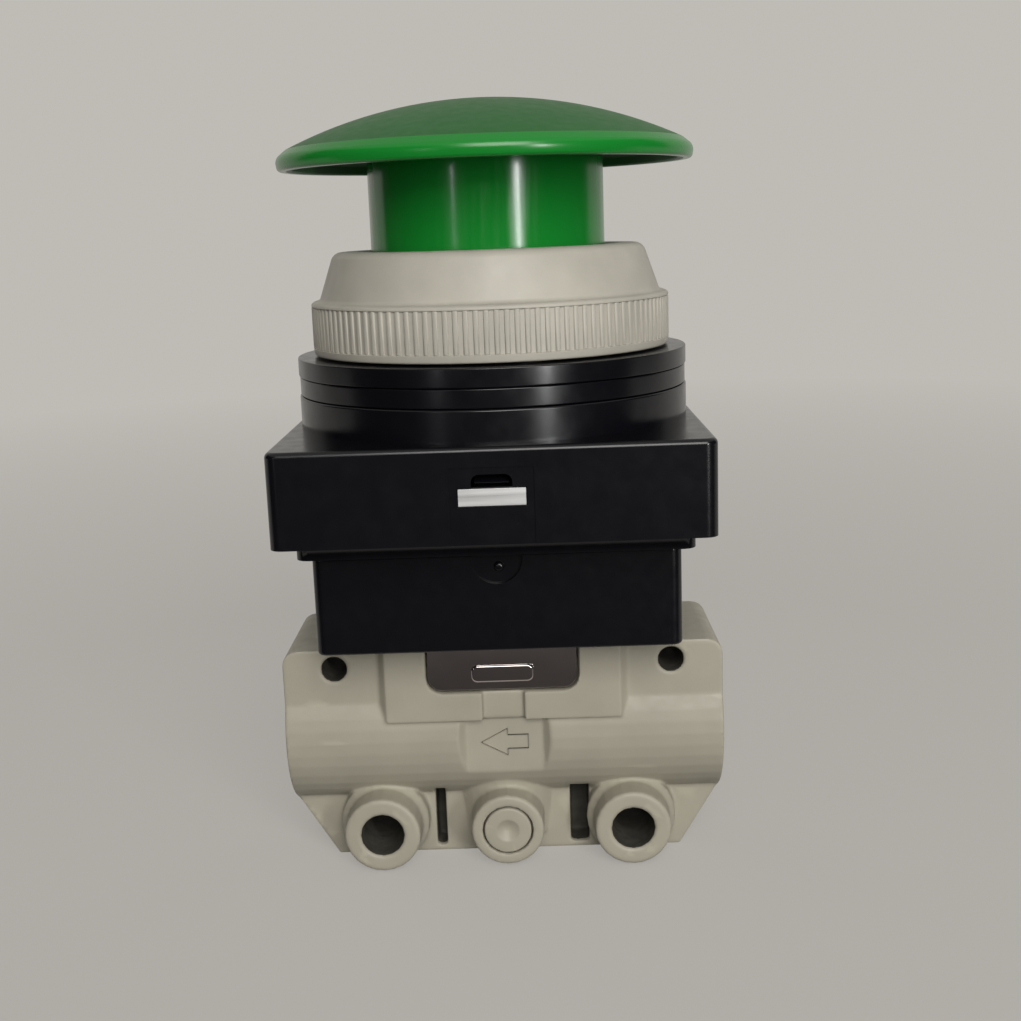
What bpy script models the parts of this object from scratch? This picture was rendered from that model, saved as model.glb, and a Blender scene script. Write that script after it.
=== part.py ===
"""A mushroom push-button valve: a small three-port poppet valve under a panel-mounted mushroom button.

Metres, +Z up. The origin is on the button's axis, in the plane of the body's lowest face.
X runs along the body from the outlet port to the supply port, and -Y is the front.
"""

import math

import bmesh
import bpy
from mathutils import Matrix, Vector

# Fits and small allowances
GAP = 0.0002  # between faces that touch on the real valve
SLIDE = 0.0003  # radial clearance of a sliding fit
SPILL = 0.001  # how far a cutter reaches past the face it opens

# How finely round shapes are divided
FINE = 40
MEDIUM = 24
COARSE = 16
TINY = 12
HEXAGON = 6
DOME_STEPS = 8
SHARP_ANGLE = math.radians(35)
BEVEL_ANGLE = math.radians(40)
WELD_DISTANCE = 0.000001

# Travel
BUTTON_TRAVEL = 0.0035
EXHAUST_GAP = 0.0010  # the plunger closes this before it lifts the poppet

# Valve body casting
BODY_LENGTH = 0.0434
BARREL_DIAMETER = 0.0160
PORT_HEIGHT = 0.0134
BLOCK_DEPTH = 0.0141
BLOCK_CORNER = 0.0015
FRAME_WIDTH = 0.0231
FRAME_FLARE = 0.0009  # how much wider the frame is on each side where it meets the block
FRAME_DEPTH = 0.0160
FRAME_DROP = 0.00735
WING_THICKNESS = 0.0080
WING_SHOULDER = 0.0064
WING_FOOT_INSET = 0.0041
WING_END_INSET = 0.0002
COLUMN_DIAMETER = 0.0128
COLUMN_DRAFT = 0.0007
COLUMN_FOOT = 0.0013
COLUMN_FOOT_EDGE = 0.0006
COLUMN_FLOOR = 0.0013

# Mounting bosses and holes
BOSS_DIAMETER = 0.0076
BOSS_DRAFT = 0.0001
BOSS_FLARE = 0.0006  # the cast fillet where a boss leaves the barrel
BOSS_FLARE_END = 0.0062  # its distance from the middle plane
BOSS_SPAN = 0.0180
BOSS_EDGE_DISTANCE = 0.0092
BOSS_HEIGHT = 0.0040
MOUNT_HOLE = 0.0043
HOLE_CHAMFER = 0.0002
UPPER_HOLE = 0.0025
UPPER_HOLE_EDGE_DISTANCE = 0.0051
UPPER_HOLE_DROP = 0.00195
PLUG_BOSS_DIAMETER = 0.0073
PLUG_BOSS_FACE = 0.0086
PLUG_DIAMETER = 0.0047
PLUG_THICKNESS = 0.0012
PLUG_DIMPLE = 0.0009
CROSS_HOLE = 0.0018
RIGHT_POCKET_WIDTH = 0.0019
LEFT_POCKET_WIDTH = 0.0010
CORE_POCKET_FLOOR = 0.0010
CORE_POCKET_TOP = 0.0080
CORE_POCKET_BOTTOM = 0.0006

# Arrow pad and bracket seat on the body
PAD_WIDTH = 0.0076
PAD_DEPTH = 0.0009
PAD_BELOW_AXIS = 0.0046
PAD_FLARE = 0.0008  # how far its sloping side walls spread at the barrel's surface
SEAT_SIDE_GAP = 0.0002
SEAT_CORNER = 0.0015
SEAT_RAIL = 0.00285
SLOT_WIDTH = 0.0041
SLOT_DEPTH = 0.0006

# Ports and passages
PORT_MOUTH = 0.0095
PORT_FLOOR = 0.0088
PORT_DEPTH = 0.0085
PASSAGE = 0.0028
SUPPLY_DROP = 0.0028
OUTLET_RISE = 0.0026

# Valve seat, poppet and their chamber
CHAMBER_DIAMETER = 0.0084
BORE_DIAMETER = 0.0104
SEAT_DROP = 0.0011
SEAT_THICKNESS = 0.0015
SEAT_HOLE = 0.0060
SEAT_NIB = 0.0004
SEAT_NIB_WIDTH = 0.0004
SEAL_SECTION = 0.0008
POPPET_DIAMETER = 0.0070
POPPET_HEIGHT = 0.0046
POPPET_WALL = 0.0007
POPPET_CROWN = 0.0016
POPPET_SEAL_THICKNESS = 0.0006
POPPET_SEAL_WALL = 0.0004

# Plunger and its guide
PLUNGER_DIAMETER = 0.0038
PLUNGER_HEAD = 0.0064
PLUNGER_HEAD_THICKNESS = 0.0016
PLUNGER_SHOULDER = 0.0066
SHOULDER_THICKNESS = 0.0010
PLUNGER_BORE = 0.0020
PLUNGER_VENT = 0.0012
GUIDE_HEIGHT = 0.0037
GUIDE_POCKET_DEPTH = 0.0019
GUIDE_POCKET = 0.0072
GUIDE_SEAL_POCKET = 0.0062
GUIDE_SEAL_DEPTH = 0.0009
GUIDE_GROOVE_WIDTH = 0.0010
GUIDE_GROOVE_DEPTH = 0.00085
GUIDE_RING_SECTION = 0.0007

# Bracket
BRACKET_THICKNESS = 0.0010
BRACKET_WIDTH = 0.0146
BRACKET_LEG = 0.0042
BRACKET_LEG_CORNER = 0.0013
BRACKET_BEND = 0.0013
BRACKET_HOLE = 0.0080
BRACKET_WING_LENGTH = 0.0255
BRACKET_WING_WIDTH = 0.0080
BRACKET_LEG_INSET = 0.0002
STAMP_WIDTH = 0.0061
STAMP_HEIGHT = 0.00175
STAMP_RISE = 0.00015
STAMP_DROP = 0.0026

# Screws
BRACKET_SCREW = 0.0024
BRACKET_SCREW_HEAD = 0.0044
BRACKET_SCREW_HEAD_HEIGHT = 0.0014
BRACKET_SCREW_SPACING = 0.0200
BRACKET_SCREW_BITE = 0.0042
ADAPTER_SCREW = 0.0016
ADAPTER_SCREW_HEAD = 0.0034
ADAPTER_SCREW_HEAD_HEIGHT = 0.0012
ADAPTER_SCREW_BITE = 0.0040
SCREW_SOCKET = 0.0014
SCREW_SOCKET_DEPTH = 0.0006
SCREW_CLEARANCE = 0.00015

# Lower housing
LOWER_INSET = 0.0025  # of its side faces from the upper housing's
LOWER_DEPTH = 0.0266
LOWER_HEIGHT = 0.00943
LOWER_WALL = 0.0020
LOWER_CORNER = 0.0012
LOWER_EDGE = 0.0005
LOWER_HOLE = 0.0084
POST_DIAMETER = 0.0048
GATE_DISH = 0.0048
GATE_DISH_DEPTH = 0.0004
GATE_DISH_DROP = 0.00055

# Adapter plate between the two housings
LIP_OVERHANG = 0.00115
LIP_DEPTH = 0.0300
LIP_THICKNESS = 0.0020
DECK_THICKNESS = 0.0022
DECK_FIT = 0.0002
TOWER_DIAMETER = 0.0088
TOWER_HEIGHT = 0.0085
STOP_RIDGE_WIDTH = 0.0024
HOOK_WIDTH = 0.0030
HOOK_THICKNESS = 0.0011
HOOK_BARB = 0.0011
HOOK_BARB_HEIGHT = 0.00075

# Upper housing
UPPER_WIDTH = 0.0393
UPPER_MARGIN = 0.0003  # of its front and back beyond the mushroom
UPPER_HEIGHT = 0.00865
UPPER_WALL = 0.0016
UPPER_ROOF = 0.0018
UPPER_CORNER = 0.0012
UPPER_EDGE = 0.0009
COLLAR_INSET = 0.00065  # of the collar from the housing's sides
COLLAR_HEIGHT = 0.0030
SLEEVE_DIAMETER = 0.0280
SLEEVE_HEIGHT = 0.0120
SLEEVE_LEDGE = 0.0013
WINDOW_WIDTH = 0.0036
WINDOW_HEIGHT = 0.00115
WINDOW_DROP = 0.00245
LABEL_WIDTH = 0.0061
LABEL_HEIGHT = 0.00175
LABEL_DEPTH = 0.0003
TONGUE_WIDTH = 0.0074
TONGUE_HEIGHT = 0.00685
TONGUE_DEPTH = 0.00015

# Clamping rings and knurled nut
RING_THICKNESS = 0.0016
RING_INSET = 0.0001
NUT_FLANGE = 0.0348
NUT_FLANGE_HEIGHT = 0.00504
NUT_CONE_FOOT = 0.0332
NUT_CONE_TOP = 0.0300
NUT_CONE_HEIGHT = 0.00462
NUT_TOP_EDGE = 0.0007
NUT_MOUTH = 0.0252
NUT_ROOF = 0.00125
NUT_EDGE = 0.0004
KNURL_COUNT = 120
KNURL_DEPTH = 0.0002
KNURL_FOOT = 0.0006
KNURL_HEAD = 0.0005

# Mushroom button
BUTTON_DIAMETER = 0.0400
BUTTON_OVERALL = 0.0139  # from the nut's top to the crown
BUTTON_SKIRT = 0.02268
BUTTON_SKIRT_WALL = 0.0014
DOME_RADIUS = 0.0440
RIM_HEIGHT = 0.0016
RIM_ROUND = 0.0006
RIM_LIP = 0.0004
RIM_WALL = 0.0015
CROWN_WALL = 0.0021
SOCKET_DIAMETER = 0.0172
STOP_RING_THICKNESS = 0.0014
STOP_RING_GROOVE = 0.0006
STOP_RING_OVERHANG = 0.00085
SKIRT_FOOT = 0.0010

# Push rod
ROD_DIAMETER = 0.0040
ROD_FLANGE_THICKNESS = 0.0015
ROD_SHOULDER_DROP = 0.0025  # of the flange's seat below the nut's top
TAPPET_CLEARANCE = 0.0002

# Springs
RETURN_WIRE = 0.0010
RETURN_COIL = 0.0160
RETURN_TURNS = 6
PLUNGER_WIRE = 0.00035
PLUNGER_COIL = 0.0056
PLUNGER_TURNS = 3
POPPET_WIRE = 0.0004
POPPET_COIL = 0.0044
POPPET_TURNS = 5
CLOSED_TURNS = 1.0
COIL_STEPS = 8

# Levels in the body, worked out upwards from the ports
CHAMBER_BOTTOM = COLUMN_FOOT + COLUMN_FLOOR
SEAT_LEDGE = PORT_HEIGHT - SEAT_DROP
SEAT_BASE = SEAT_LEDGE + GAP
SEAT_TOP = SEAT_BASE + SEAT_THICKNESS
NIB_TIP = SEAT_BASE - SEAT_NIB
POPPET_TOP = NIB_TIP - GAP
SHOULDER_BASE = SEAT_TOP + BUTTON_TRAVEL + GAP
SHOULDER_TOP = SHOULDER_BASE + SHOULDER_THICKNESS
GUIDE_BASE = SHOULDER_TOP + GAP
GUIDE_TOP = GUIDE_BASE + GUIDE_HEIGHT
BODY_HEIGHT = GUIDE_TOP + GAP
GUIDE_POCKET_FLOOR = GUIDE_TOP - GUIDE_POCKET_DEPTH

# Levels above the body
BRACKET_BASE = BODY_HEIGHT + GAP
BRACKET_TOP = BRACKET_BASE + BRACKET_THICKNESS
LOWER_BASE = BRACKET_TOP + GAP
LOWER_TOP = LOWER_BASE + LOWER_HEIGHT
LIP_BASE = LOWER_TOP + GAP
LIP_TOP = LIP_BASE + LIP_THICKNESS
UPPER_BASE = LIP_TOP + GAP
UPPER_TOP = UPPER_BASE + UPPER_HEIGHT
DECK_TOP = LIP_TOP + DECK_THICKNESS
TOWER_TOP = DECK_TOP + TOWER_HEIGHT
COLLAR_TOP = UPPER_TOP + COLLAR_HEIGHT
SLEEVE_TOP = COLLAR_TOP + SLEEVE_HEIGHT
BORE_LEDGE = UPPER_TOP + SLEEVE_LEDGE
LOWER_RING_BASE = COLLAR_TOP + GAP
UPPER_RING_BASE = LOWER_RING_BASE + RING_THICKNESS + GAP
NUT_BASE = UPPER_RING_BASE + RING_THICKNESS + GAP
NUT_SHOULDER = NUT_BASE + NUT_FLANGE_HEIGHT
NUT_TOP = NUT_SHOULDER + NUT_CONE_HEIGHT

# Levels of the button, hung from the ledge that its stop ring meets
STOP_RING_TOP = BORE_LEDGE - GAP
STOP_RING_BASE = STOP_RING_TOP - STOP_RING_THICKNESS
SKIRT_BASE = STOP_RING_BASE - GAP - SKIRT_FOOT
STOP_RIDGE_TOP = SKIRT_BASE - BUTTON_TRAVEL - GAP
CROWN_TOP = NUT_TOP + BUTTON_OVERALL
ROD_SEAT = NUT_TOP - ROD_SHOULDER_DROP
ROD_FLANGE_TOP = ROD_SEAT - GAP
ROD_FLANGE_BASE = ROD_FLANGE_TOP - ROD_FLANGE_THICKNESS

# Levels of the plunger, which the push rod meets above the lower housing's floor
LOWER_FLOOR_TOP = LOWER_BASE + LOWER_WALL
PLUNGER_TIP = POPPET_TOP + EXHAUST_GAP
PLUNGER_TOP = LOWER_FLOOR_TOP + PLUNGER_HEAD_THICKNESS + GAP * 2
ROD_TIP = PLUNGER_TOP + TAPPET_CLEARANCE

# Widths that follow from the pieces around them
UPPER_DEPTH = BUTTON_DIAMETER + 2 * UPPER_MARGIN
COLLAR_DIAMETER = UPPER_WIDTH - 2 * COLLAR_INSET
LOWER_WIDTH = UPPER_WIDTH - 2 * LOWER_INSET
SLEEVE_BORE = BUTTON_SKIRT + 2 * SLIDE + GAP
STOP_RING_DIAMETER = SLEEVE_BORE + 2 * STOP_RING_OVERHANG
STOP_RING_ROOM = STOP_RING_DIAMETER + 2 * SLIDE + GAP
SKIRT_BORE = BUTTON_SKIRT - 2 * BUTTON_SKIRT_WALL
RING_BORE = SLEEVE_DIAMETER + 2 * SLIDE
TOWER_BORE = ROD_DIAMETER + 2 * SLIDE
GUIDE_DIAMETER = BORE_DIAMETER - 2 * GAP
PLUNGER_FIT = PLUNGER_DIAMETER + 2 * SLIDE + GAP
BOSS_X = BODY_LENGTH / 2 - BOSS_EDGE_DISTANCE
UPPER_HOLE_X = BODY_LENGTH / 2 - UPPER_HOLE_EDGE_DISTANCE
PORT_END_X = BODY_LENGTH / 2 - PORT_DEPTH
BRACKET_SCREW_X = BRACKET_SCREW_SPACING / 2
POST_X = LOWER_WIDTH / 2 - LOWER_WALL - POST_DIAMETER / 2 + GAP
POST_Y = LOWER_DEPTH / 2 - LOWER_WALL - POST_DIAMETER / 2 + GAP
LEG_OUTER = FRAME_DEPTH / 2 - BRACKET_LEG_INSET
LEG_INNER = LEG_OUTER - BRACKET_THICKNESS
DECK_WIDTH = UPPER_WIDTH - 2 * (UPPER_WALL + DECK_FIT)
DECK_DEPTH = UPPER_DEPTH - 2 * (UPPER_WALL + DECK_FIT)

# Turns that lay a shape built along Z along another axis
QUARTER = math.pi / 2
ALONG_X = Matrix.Rotation(QUARTER, 4, "Y")
ALONG_Y = Matrix.Rotation(QUARTER, 4, "X")
UPRIGHT = Matrix.Identity(4)

TOOLS = "cutters and joined blanks"


# Scene and materials


def clear_scene():
    """Removes whatever the open file holds."""
    for obj in list(bpy.data.objects):
        bpy.data.objects.remove(obj, do_unlink=True)


def add_collection(name):
    """A new collection in the scene."""
    collection = bpy.data.collections.new(name)
    bpy.context.scene.collection.children.link(collection)
    return collection


def add_material(name, colour, roughness, metallic=0.0):
    """A Principled material of one colour."""
    made = bpy.data.materials.new(name)
    made.use_nodes = True
    made.diffuse_color = (*colour, 1.0)
    shader = made.node_tree.nodes["Principled BSDF"]
    shader.inputs["Base Color"].default_value = (*colour, 1.0)
    shader.inputs["Roughness"].default_value = roughness
    shader.inputs["Metallic"].default_value = metallic
    return made


def add_object(name, mesh, collection):
    """An object of this mesh, shaded smooth between its sharp edges."""
    obj = bpy.data.objects.new(name, mesh)
    collection.objects.link(obj)
    mesh.shade_smooth()
    mesh.set_sharp_from_angle(angle=SHARP_ANGLE)
    return obj


# Shapes


def box(name, low, high, collection, edge=0.0):
    """A block between two corners, its edges rounded by a Bevel where edge is given."""
    shape = bmesh.new()
    bmesh.ops.create_cube(shape, size=1.0)
    size = Vector(high) - Vector(low)
    centre = (Vector(high) + Vector(low)) / 2
    bmesh.ops.scale(shape, vec=size, verts=shape.verts)
    bmesh.ops.translate(shape, vec=centre, verts=shape.verts)
    mesh = bpy.data.meshes.new(name)
    shape.to_mesh(mesh)
    shape.free()
    obj = add_object(name, mesh, collection)
    if edge > 0:
        soften(obj, edge)
    return obj


def soften(obj, width, segments=2):
    """Rounds an object's sharp edges."""
    bevel = obj.modifiers.new("rounded edges", "BEVEL")
    bevel.width = width
    bevel.segments = segments
    bevel.limit_method = "ANGLE"
    bevel.angle_limit = BEVEL_ANGLE


def rod(name, diameter, low, high, collection, at=(0.0, 0.0), turn=UPRIGHT, end=None, steps=COARSE):
    """A round bar or, with end given, a taper, from low to high along Z before it is turned about at."""
    shape = bmesh.new()
    last = diameter if end is None else end
    bmesh.ops.create_cone(
        shape,
        cap_ends=True,
        segments=steps,
        radius1=diameter / 2,
        radius2=last / 2,
        depth=high - low,
    )
    bmesh.ops.translate(shape, vec=(0.0, 0.0, (low + high) / 2), verts=shape.verts)
    mesh = bpy.data.meshes.new(name)
    shape.to_mesh(mesh)
    shape.free()
    mesh.transform(turn)
    mesh.transform(Matrix.Translation((at[0], at[1], at[2] if len(at) > 2 else 0.0)))
    return add_object(name, mesh, collection)


def turned(name, profile, collection, steps=FINE, closed=True, turn=UPRIGHT, at=(0.0, 0.0, 0.0)):
    """A shape turned about Z from (radius, height) points that run down the outer side first."""
    mesh = bpy.data.meshes.new(name)
    points = [(radius, 0.0, height) for radius, height in profile]
    edges = [(i, i + 1) for i in range(len(points) - 1)]
    if closed:
        edges.append((len(points) - 1, 0))
    mesh.from_pydata(points, edges, [])
    obj = bpy.data.objects.new(name, mesh)
    collection.objects.link(obj)
    screw = obj.modifiers.new("turned", "SCREW")
    screw.axis = "Z"
    screw.angle = math.tau
    screw.steps = steps
    screw.render_steps = steps
    screw.use_merge_vertices = True
    screw.merge_threshold = 10 * WELD_DISTANCE
    obj.matrix_world = Matrix.Translation(at) @ turn
    return obj


def rounded(corners, steps=4):
    """An outline from corners given as (x, y, radius), each made an arc of its radius."""
    points = []
    for i, (x, y, radius) in enumerate(corners):
        corner = Vector((x, y))
        if radius <= 0:
            points.append(corner)
            continue
        back = (Vector(corners[i - 1][:2]) - corner).normalized()
        ahead = (Vector(corners[(i + 1) % len(corners)][:2]) - corner).normalized()
        half = back.angle(ahead) / 2
        centre = corner + (back + ahead).normalized() * (radius / math.sin(half))
        first = corner + back * (radius / math.tan(half)) - centre
        last = corner + ahead * (radius / math.tan(half)) - centre
        start = math.atan2(first.y, first.x)
        sweep = math.atan2(last.y, last.x) - start
        sweep = (sweep + math.pi) % math.tau - math.pi
        for step in range(steps + 1):
            angle = start + sweep * step / steps
            points.append(centre + radius * Vector((math.cos(angle), math.sin(angle))))
    return points


def rectangle(width, height, radius=0.0, centre=(0.0, 0.0)):
    """A rectangle's rounded outline."""
    x, y = width / 2, height / 2
    signs = ((-1, -1), (1, -1), (1, 1), (-1, 1))
    return rounded([(centre[0] + sx * x, centre[1] + sy * y, radius) for sx, sy in signs])


def prism(name, outline, low, high, collection, turn=UPRIGHT):
    """A flat outline in XY, thick from low to high along Z, then turned."""
    curve = bpy.data.curves.new(name, "CURVE")
    curve.dimensions = "2D"
    curve.fill_mode = "BOTH"
    curve.extrude = (high - low) / 2
    spline = curve.splines.new("POLY")
    spline.points.add(len(outline) - 1)
    for point, place in zip(spline.points, outline):
        point.co = (place[0], place[1], 0.0, 1.0)
    spline.use_cyclic_u = True
    flat = bpy.data.objects.new(name, curve)
    collection.objects.link(flat)
    flat.matrix_world = turn @ Matrix.Translation((0.0, 0.0, (low + high) / 2))
    return mesh_of(flat, collection)


def mesh_of(curved, collection):
    """A mesh object in place of a curve object, its caps welded to its sides."""
    name = curved.name
    bpy.context.view_layer.update()
    graph = bpy.context.evaluated_depsgraph_get()
    mesh = bpy.data.meshes.new_from_object(curved.evaluated_get(graph))
    place = curved.matrix_world.copy()
    bpy.data.objects.remove(curved, do_unlink=True)
    shape = bmesh.new()
    shape.from_mesh(mesh)
    bmesh.ops.remove_doubles(shape, verts=shape.verts, dist=WELD_DISTANCE)
    shape.to_mesh(mesh)
    shape.free()
    mesh.transform(place)
    return add_object(name, mesh, collection)


def coil(name, diameter, wire, low, high, turns, collection):
    """A compression spring with closed end turns, its wire's outside between low and high."""
    rise = high - low - wire - 2 * CLOSED_TURNS * wire
    whole = turns + 2 * CLOSED_TURNS
    steps = int(round(whole * COIL_STEPS))
    curve = bpy.data.curves.new(name, "CURVE")
    curve.dimensions = "3D"
    curve.bevel_depth = wire / 2
    curve.bevel_resolution = 1
    curve.use_fill_caps = True
    spline = curve.splines.new("POLY")
    spline.points.add(steps)
    for step, point in enumerate(spline.points):
        turn = whole * step / steps
        active = min(max(turn - CLOSED_TURNS, 0.0), turns)
        shut = turn - active
        height = low + wire / 2 + shut * wire + active / turns * rise
        angle = math.tau * turn
        point.co = (diameter / 2 * math.cos(angle), diameter / 2 * math.sin(angle), height, 1.0)
    obj = bpy.data.objects.new(name, curve)
    collection.objects.link(obj)
    return mesh_of(obj, collection)


def helper(obj):
    """Marks an object that only cuts or joins."""
    obj.hide_render = True
    obj.display_type = "WIRE"
    return obj


def combine(target, others, operation):
    """One Boolean on the target with all the others together."""
    group = bpy.data.collections.new(f"{target.name} {operation.lower()}")
    bpy.data.collections[TOOLS].children.link(group)
    for other in others:
        for home in list(other.users_collection):
            home.objects.unlink(other)
        group.objects.link(helper(other))
    step = target.modifiers.new(group.name, "BOOLEAN")
    step.operation = operation
    step.solver = "EXACT"
    step.operand_type = "COLLECTION"
    step.collection = group


def cut(target, *cutters):
    """Takes the cutters out of the target."""
    combine(target, cutters, "DIFFERENCE")


def join(target, *pieces):
    """Makes the pieces part of the target."""
    combine(target, pieces, "UNION")


def finish(obj, material):
    """Gives a piece its material."""
    obj.data.materials.clear()
    obj.data.materials.append(material)
    return obj


# The valve body casting


def body_blanks(tools):
    """The raised forms that the casting is joined from, besides its upper block."""
    half = BODY_LENGTH / 2
    axis = (0, 0, PORT_HEIGHT)
    barrel = rod("body barrel", BARREL_DIAMETER, -half, half, tools, axis, ALONG_X, steps=FINE)
    frame_face, frame_root = FRAME_DEPTH / 2, BLOCK_DEPTH / 2 - GAP
    narrow, wide = FRAME_WIDTH / 2, FRAME_WIDTH / 2 + FRAME_FLARE
    frame_plan = [(-narrow, -frame_face), (narrow, -frame_face), (wide, -frame_root), (wide, frame_root)]
    frame_plan += [(narrow, frame_face), (-narrow, frame_face), (-wide, frame_root), (-wide, -frame_root)]
    frame = prism("body frame", frame_plan, BODY_HEIGHT - FRAME_DROP, BODY_HEIGHT, tools)
    end, foot = half - WING_END_INSET, half - WING_FOOT_INSET
    wing_outline = [(-foot, 0), (foot, 0), (end, WING_SHOULDER), (end, PORT_HEIGHT), (-end, PORT_HEIGHT)]
    wing_outline.append((-end, WING_SHOULDER))
    wing = prism("body wing", wing_outline, -WING_THICKNESS / 2, WING_THICKNESS / 2, tools, ALONG_Y)
    radius = COLUMN_DIAMETER / 2
    foot_radius = radius - COLUMN_DRAFT
    column = turned(
        "body column",
        [
            (0, PORT_HEIGHT),
            (radius, PORT_HEIGHT),
            (radius, PORT_HEIGHT - BARREL_DIAMETER / 4),
            (foot_radius, COLUMN_FOOT + COLUMN_FOOT_EDGE),
            (foot_radius - COLUMN_FOOT_EDGE, COLUMN_FOOT),
            (0, COLUMN_FOOT),
        ],
        tools,
        closed=False,
    )
    return [barrel, frame, wing, column] + body_bosses(tools)


def body_bosses(tools):
    """Two mounting bosses that reach both faces, and the front boss for the cross hole's plug."""
    radius, reach = BOSS_DIAMETER / 2, BOSS_SPAN / 2
    bosses = []
    for name, x in (("left boss", -BOSS_X), ("right boss", BOSS_X)):
        profile = [(0, reach), (radius - HOLE_CHAMFER, reach), (radius, reach - HOLE_CHAMFER)]
        root, flare = radius + BOSS_DRAFT, radius + BOSS_DRAFT + BOSS_FLARE
        end = BOSS_FLARE_END
        profile += [(root, end), (flare, end - BOSS_FLARE), (flare, BOSS_FLARE - end), (root, -end)]
        profile += [(radius, HOLE_CHAMFER - reach)]
        profile += [(radius - HOLE_CHAMFER, -reach), (0, -reach)]
        place = (x, 0, BOSS_HEIGHT)
        bosses.append(turned(name, profile, tools, MEDIUM, False, ALONG_Y, place))
    radius = PLUG_BOSS_DIAMETER / 2
    profile = [(0, PLUG_BOSS_FACE), (radius - HOLE_CHAMFER, PLUG_BOSS_FACE)]
    profile += [(radius, PLUG_BOSS_FACE - HOLE_CHAMFER), (radius + BOSS_DRAFT, 0), (0, 0)]
    bosses.append(turned("plug boss", profile, tools, MEDIUM, False, ALONG_Y, (0, 0, BOSS_HEIGHT)))
    return bosses


def hole_along_y(name, diameter, x, height, span, tools):
    """A through hole along Y with a small chamfer where it leaves each face."""
    radius, face = diameter / 2, span / 2
    wide = radius + HOLE_CHAMFER + SPILL
    profile = [(0, face + SPILL), (wide, face + SPILL), (radius, face - HOLE_CHAMFER)]
    profile += [(radius, HOLE_CHAMFER - face), (wide, -face - SPILL), (0, -face - SPILL)]
    return turned(name, profile, tools, COARSE, False, ALONG_Y, (x, 0, height))


def body_holes(tools):
    """Mounting holes, upper holes, bracket screw holes and the plugged cross hole."""
    holes = []
    for side, sign in (("left", -1), ("right", 1)):
        name = side + " mounting hole"
        holes.append(hole_along_y(name, MOUNT_HOLE, sign * BOSS_X, BOSS_HEIGHT, BOSS_SPAN, tools))
        name = side + " upper hole"
        height = BODY_HEIGHT - UPPER_HOLE_DROP
        holes.append(hole_along_y(name, UPPER_HOLE, sign * UPPER_HOLE_X, height, BLOCK_DEPTH, tools))
        width = BRACKET_SCREW + 2 * SCREW_CLEARANCE
        low = BODY_HEIGHT - BRACKET_SCREW_BITE - GAP
        at = (sign * BRACKET_SCREW_X, 0)
        holes.append(rod(side + " screw hole", width, low, BODY_HEIGHT + SPILL, tools, at))
    pocket = PLUG_DIAMETER + 2 * GAP
    floor = PLUG_BOSS_FACE - PLUG_THICKNESS - GAP
    at = (0, 0, BOSS_HEIGHT)
    holes.append(rod("plug pocket", pocket, floor, PLUG_BOSS_FACE + SPILL, tools, at, ALONG_Y))
    holes.append(rod("cross hole", CROSS_HOLE, 0, floor + SPILL, tools, at, ALONG_Y))
    return holes


def body_ports(tools):
    """The two end ports, the passages behind them, and the stepped bore for the valve parts."""
    half = BODY_LENGTH / 2
    slope = (PORT_MOUTH - PORT_FLOOR) / PORT_DEPTH
    mouth = PORT_MOUTH + slope * SPILL
    cuts = []
    for name, sign, rise in (("supply", 1, -SUPPLY_DROP), ("outlet", -1, OUTLET_RISE)):
        turn = Matrix.Rotation(QUARTER * sign, 4, "Y")
        at = (0, 0, PORT_HEIGHT)
        ends = (PORT_END_X, half + SPILL)
        cuts.append(rod(name + " port", PORT_FLOOR, *ends, tools, at, turn, mouth, MEDIUM))
        at = (0, 0, PORT_HEIGHT + rise)
        cuts.append(rod(name + " passage", PASSAGE, 0, PORT_END_X + SPILL, tools, at, turn))
    chamber, bore = CHAMBER_DIAMETER / 2, BORE_DIAMETER / 2
    profile = [(0, BODY_HEIGHT + SPILL), (bore, BODY_HEIGHT + SPILL), (bore, SEAT_LEDGE)]
    profile += [(chamber, SEAT_LEDGE), (chamber, CHAMBER_BOTTOM), (0, CHAMBER_BOTTOM)]
    cuts.append(turned("valve bore", profile, tools, MEDIUM, closed=False))
    return cuts


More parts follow.
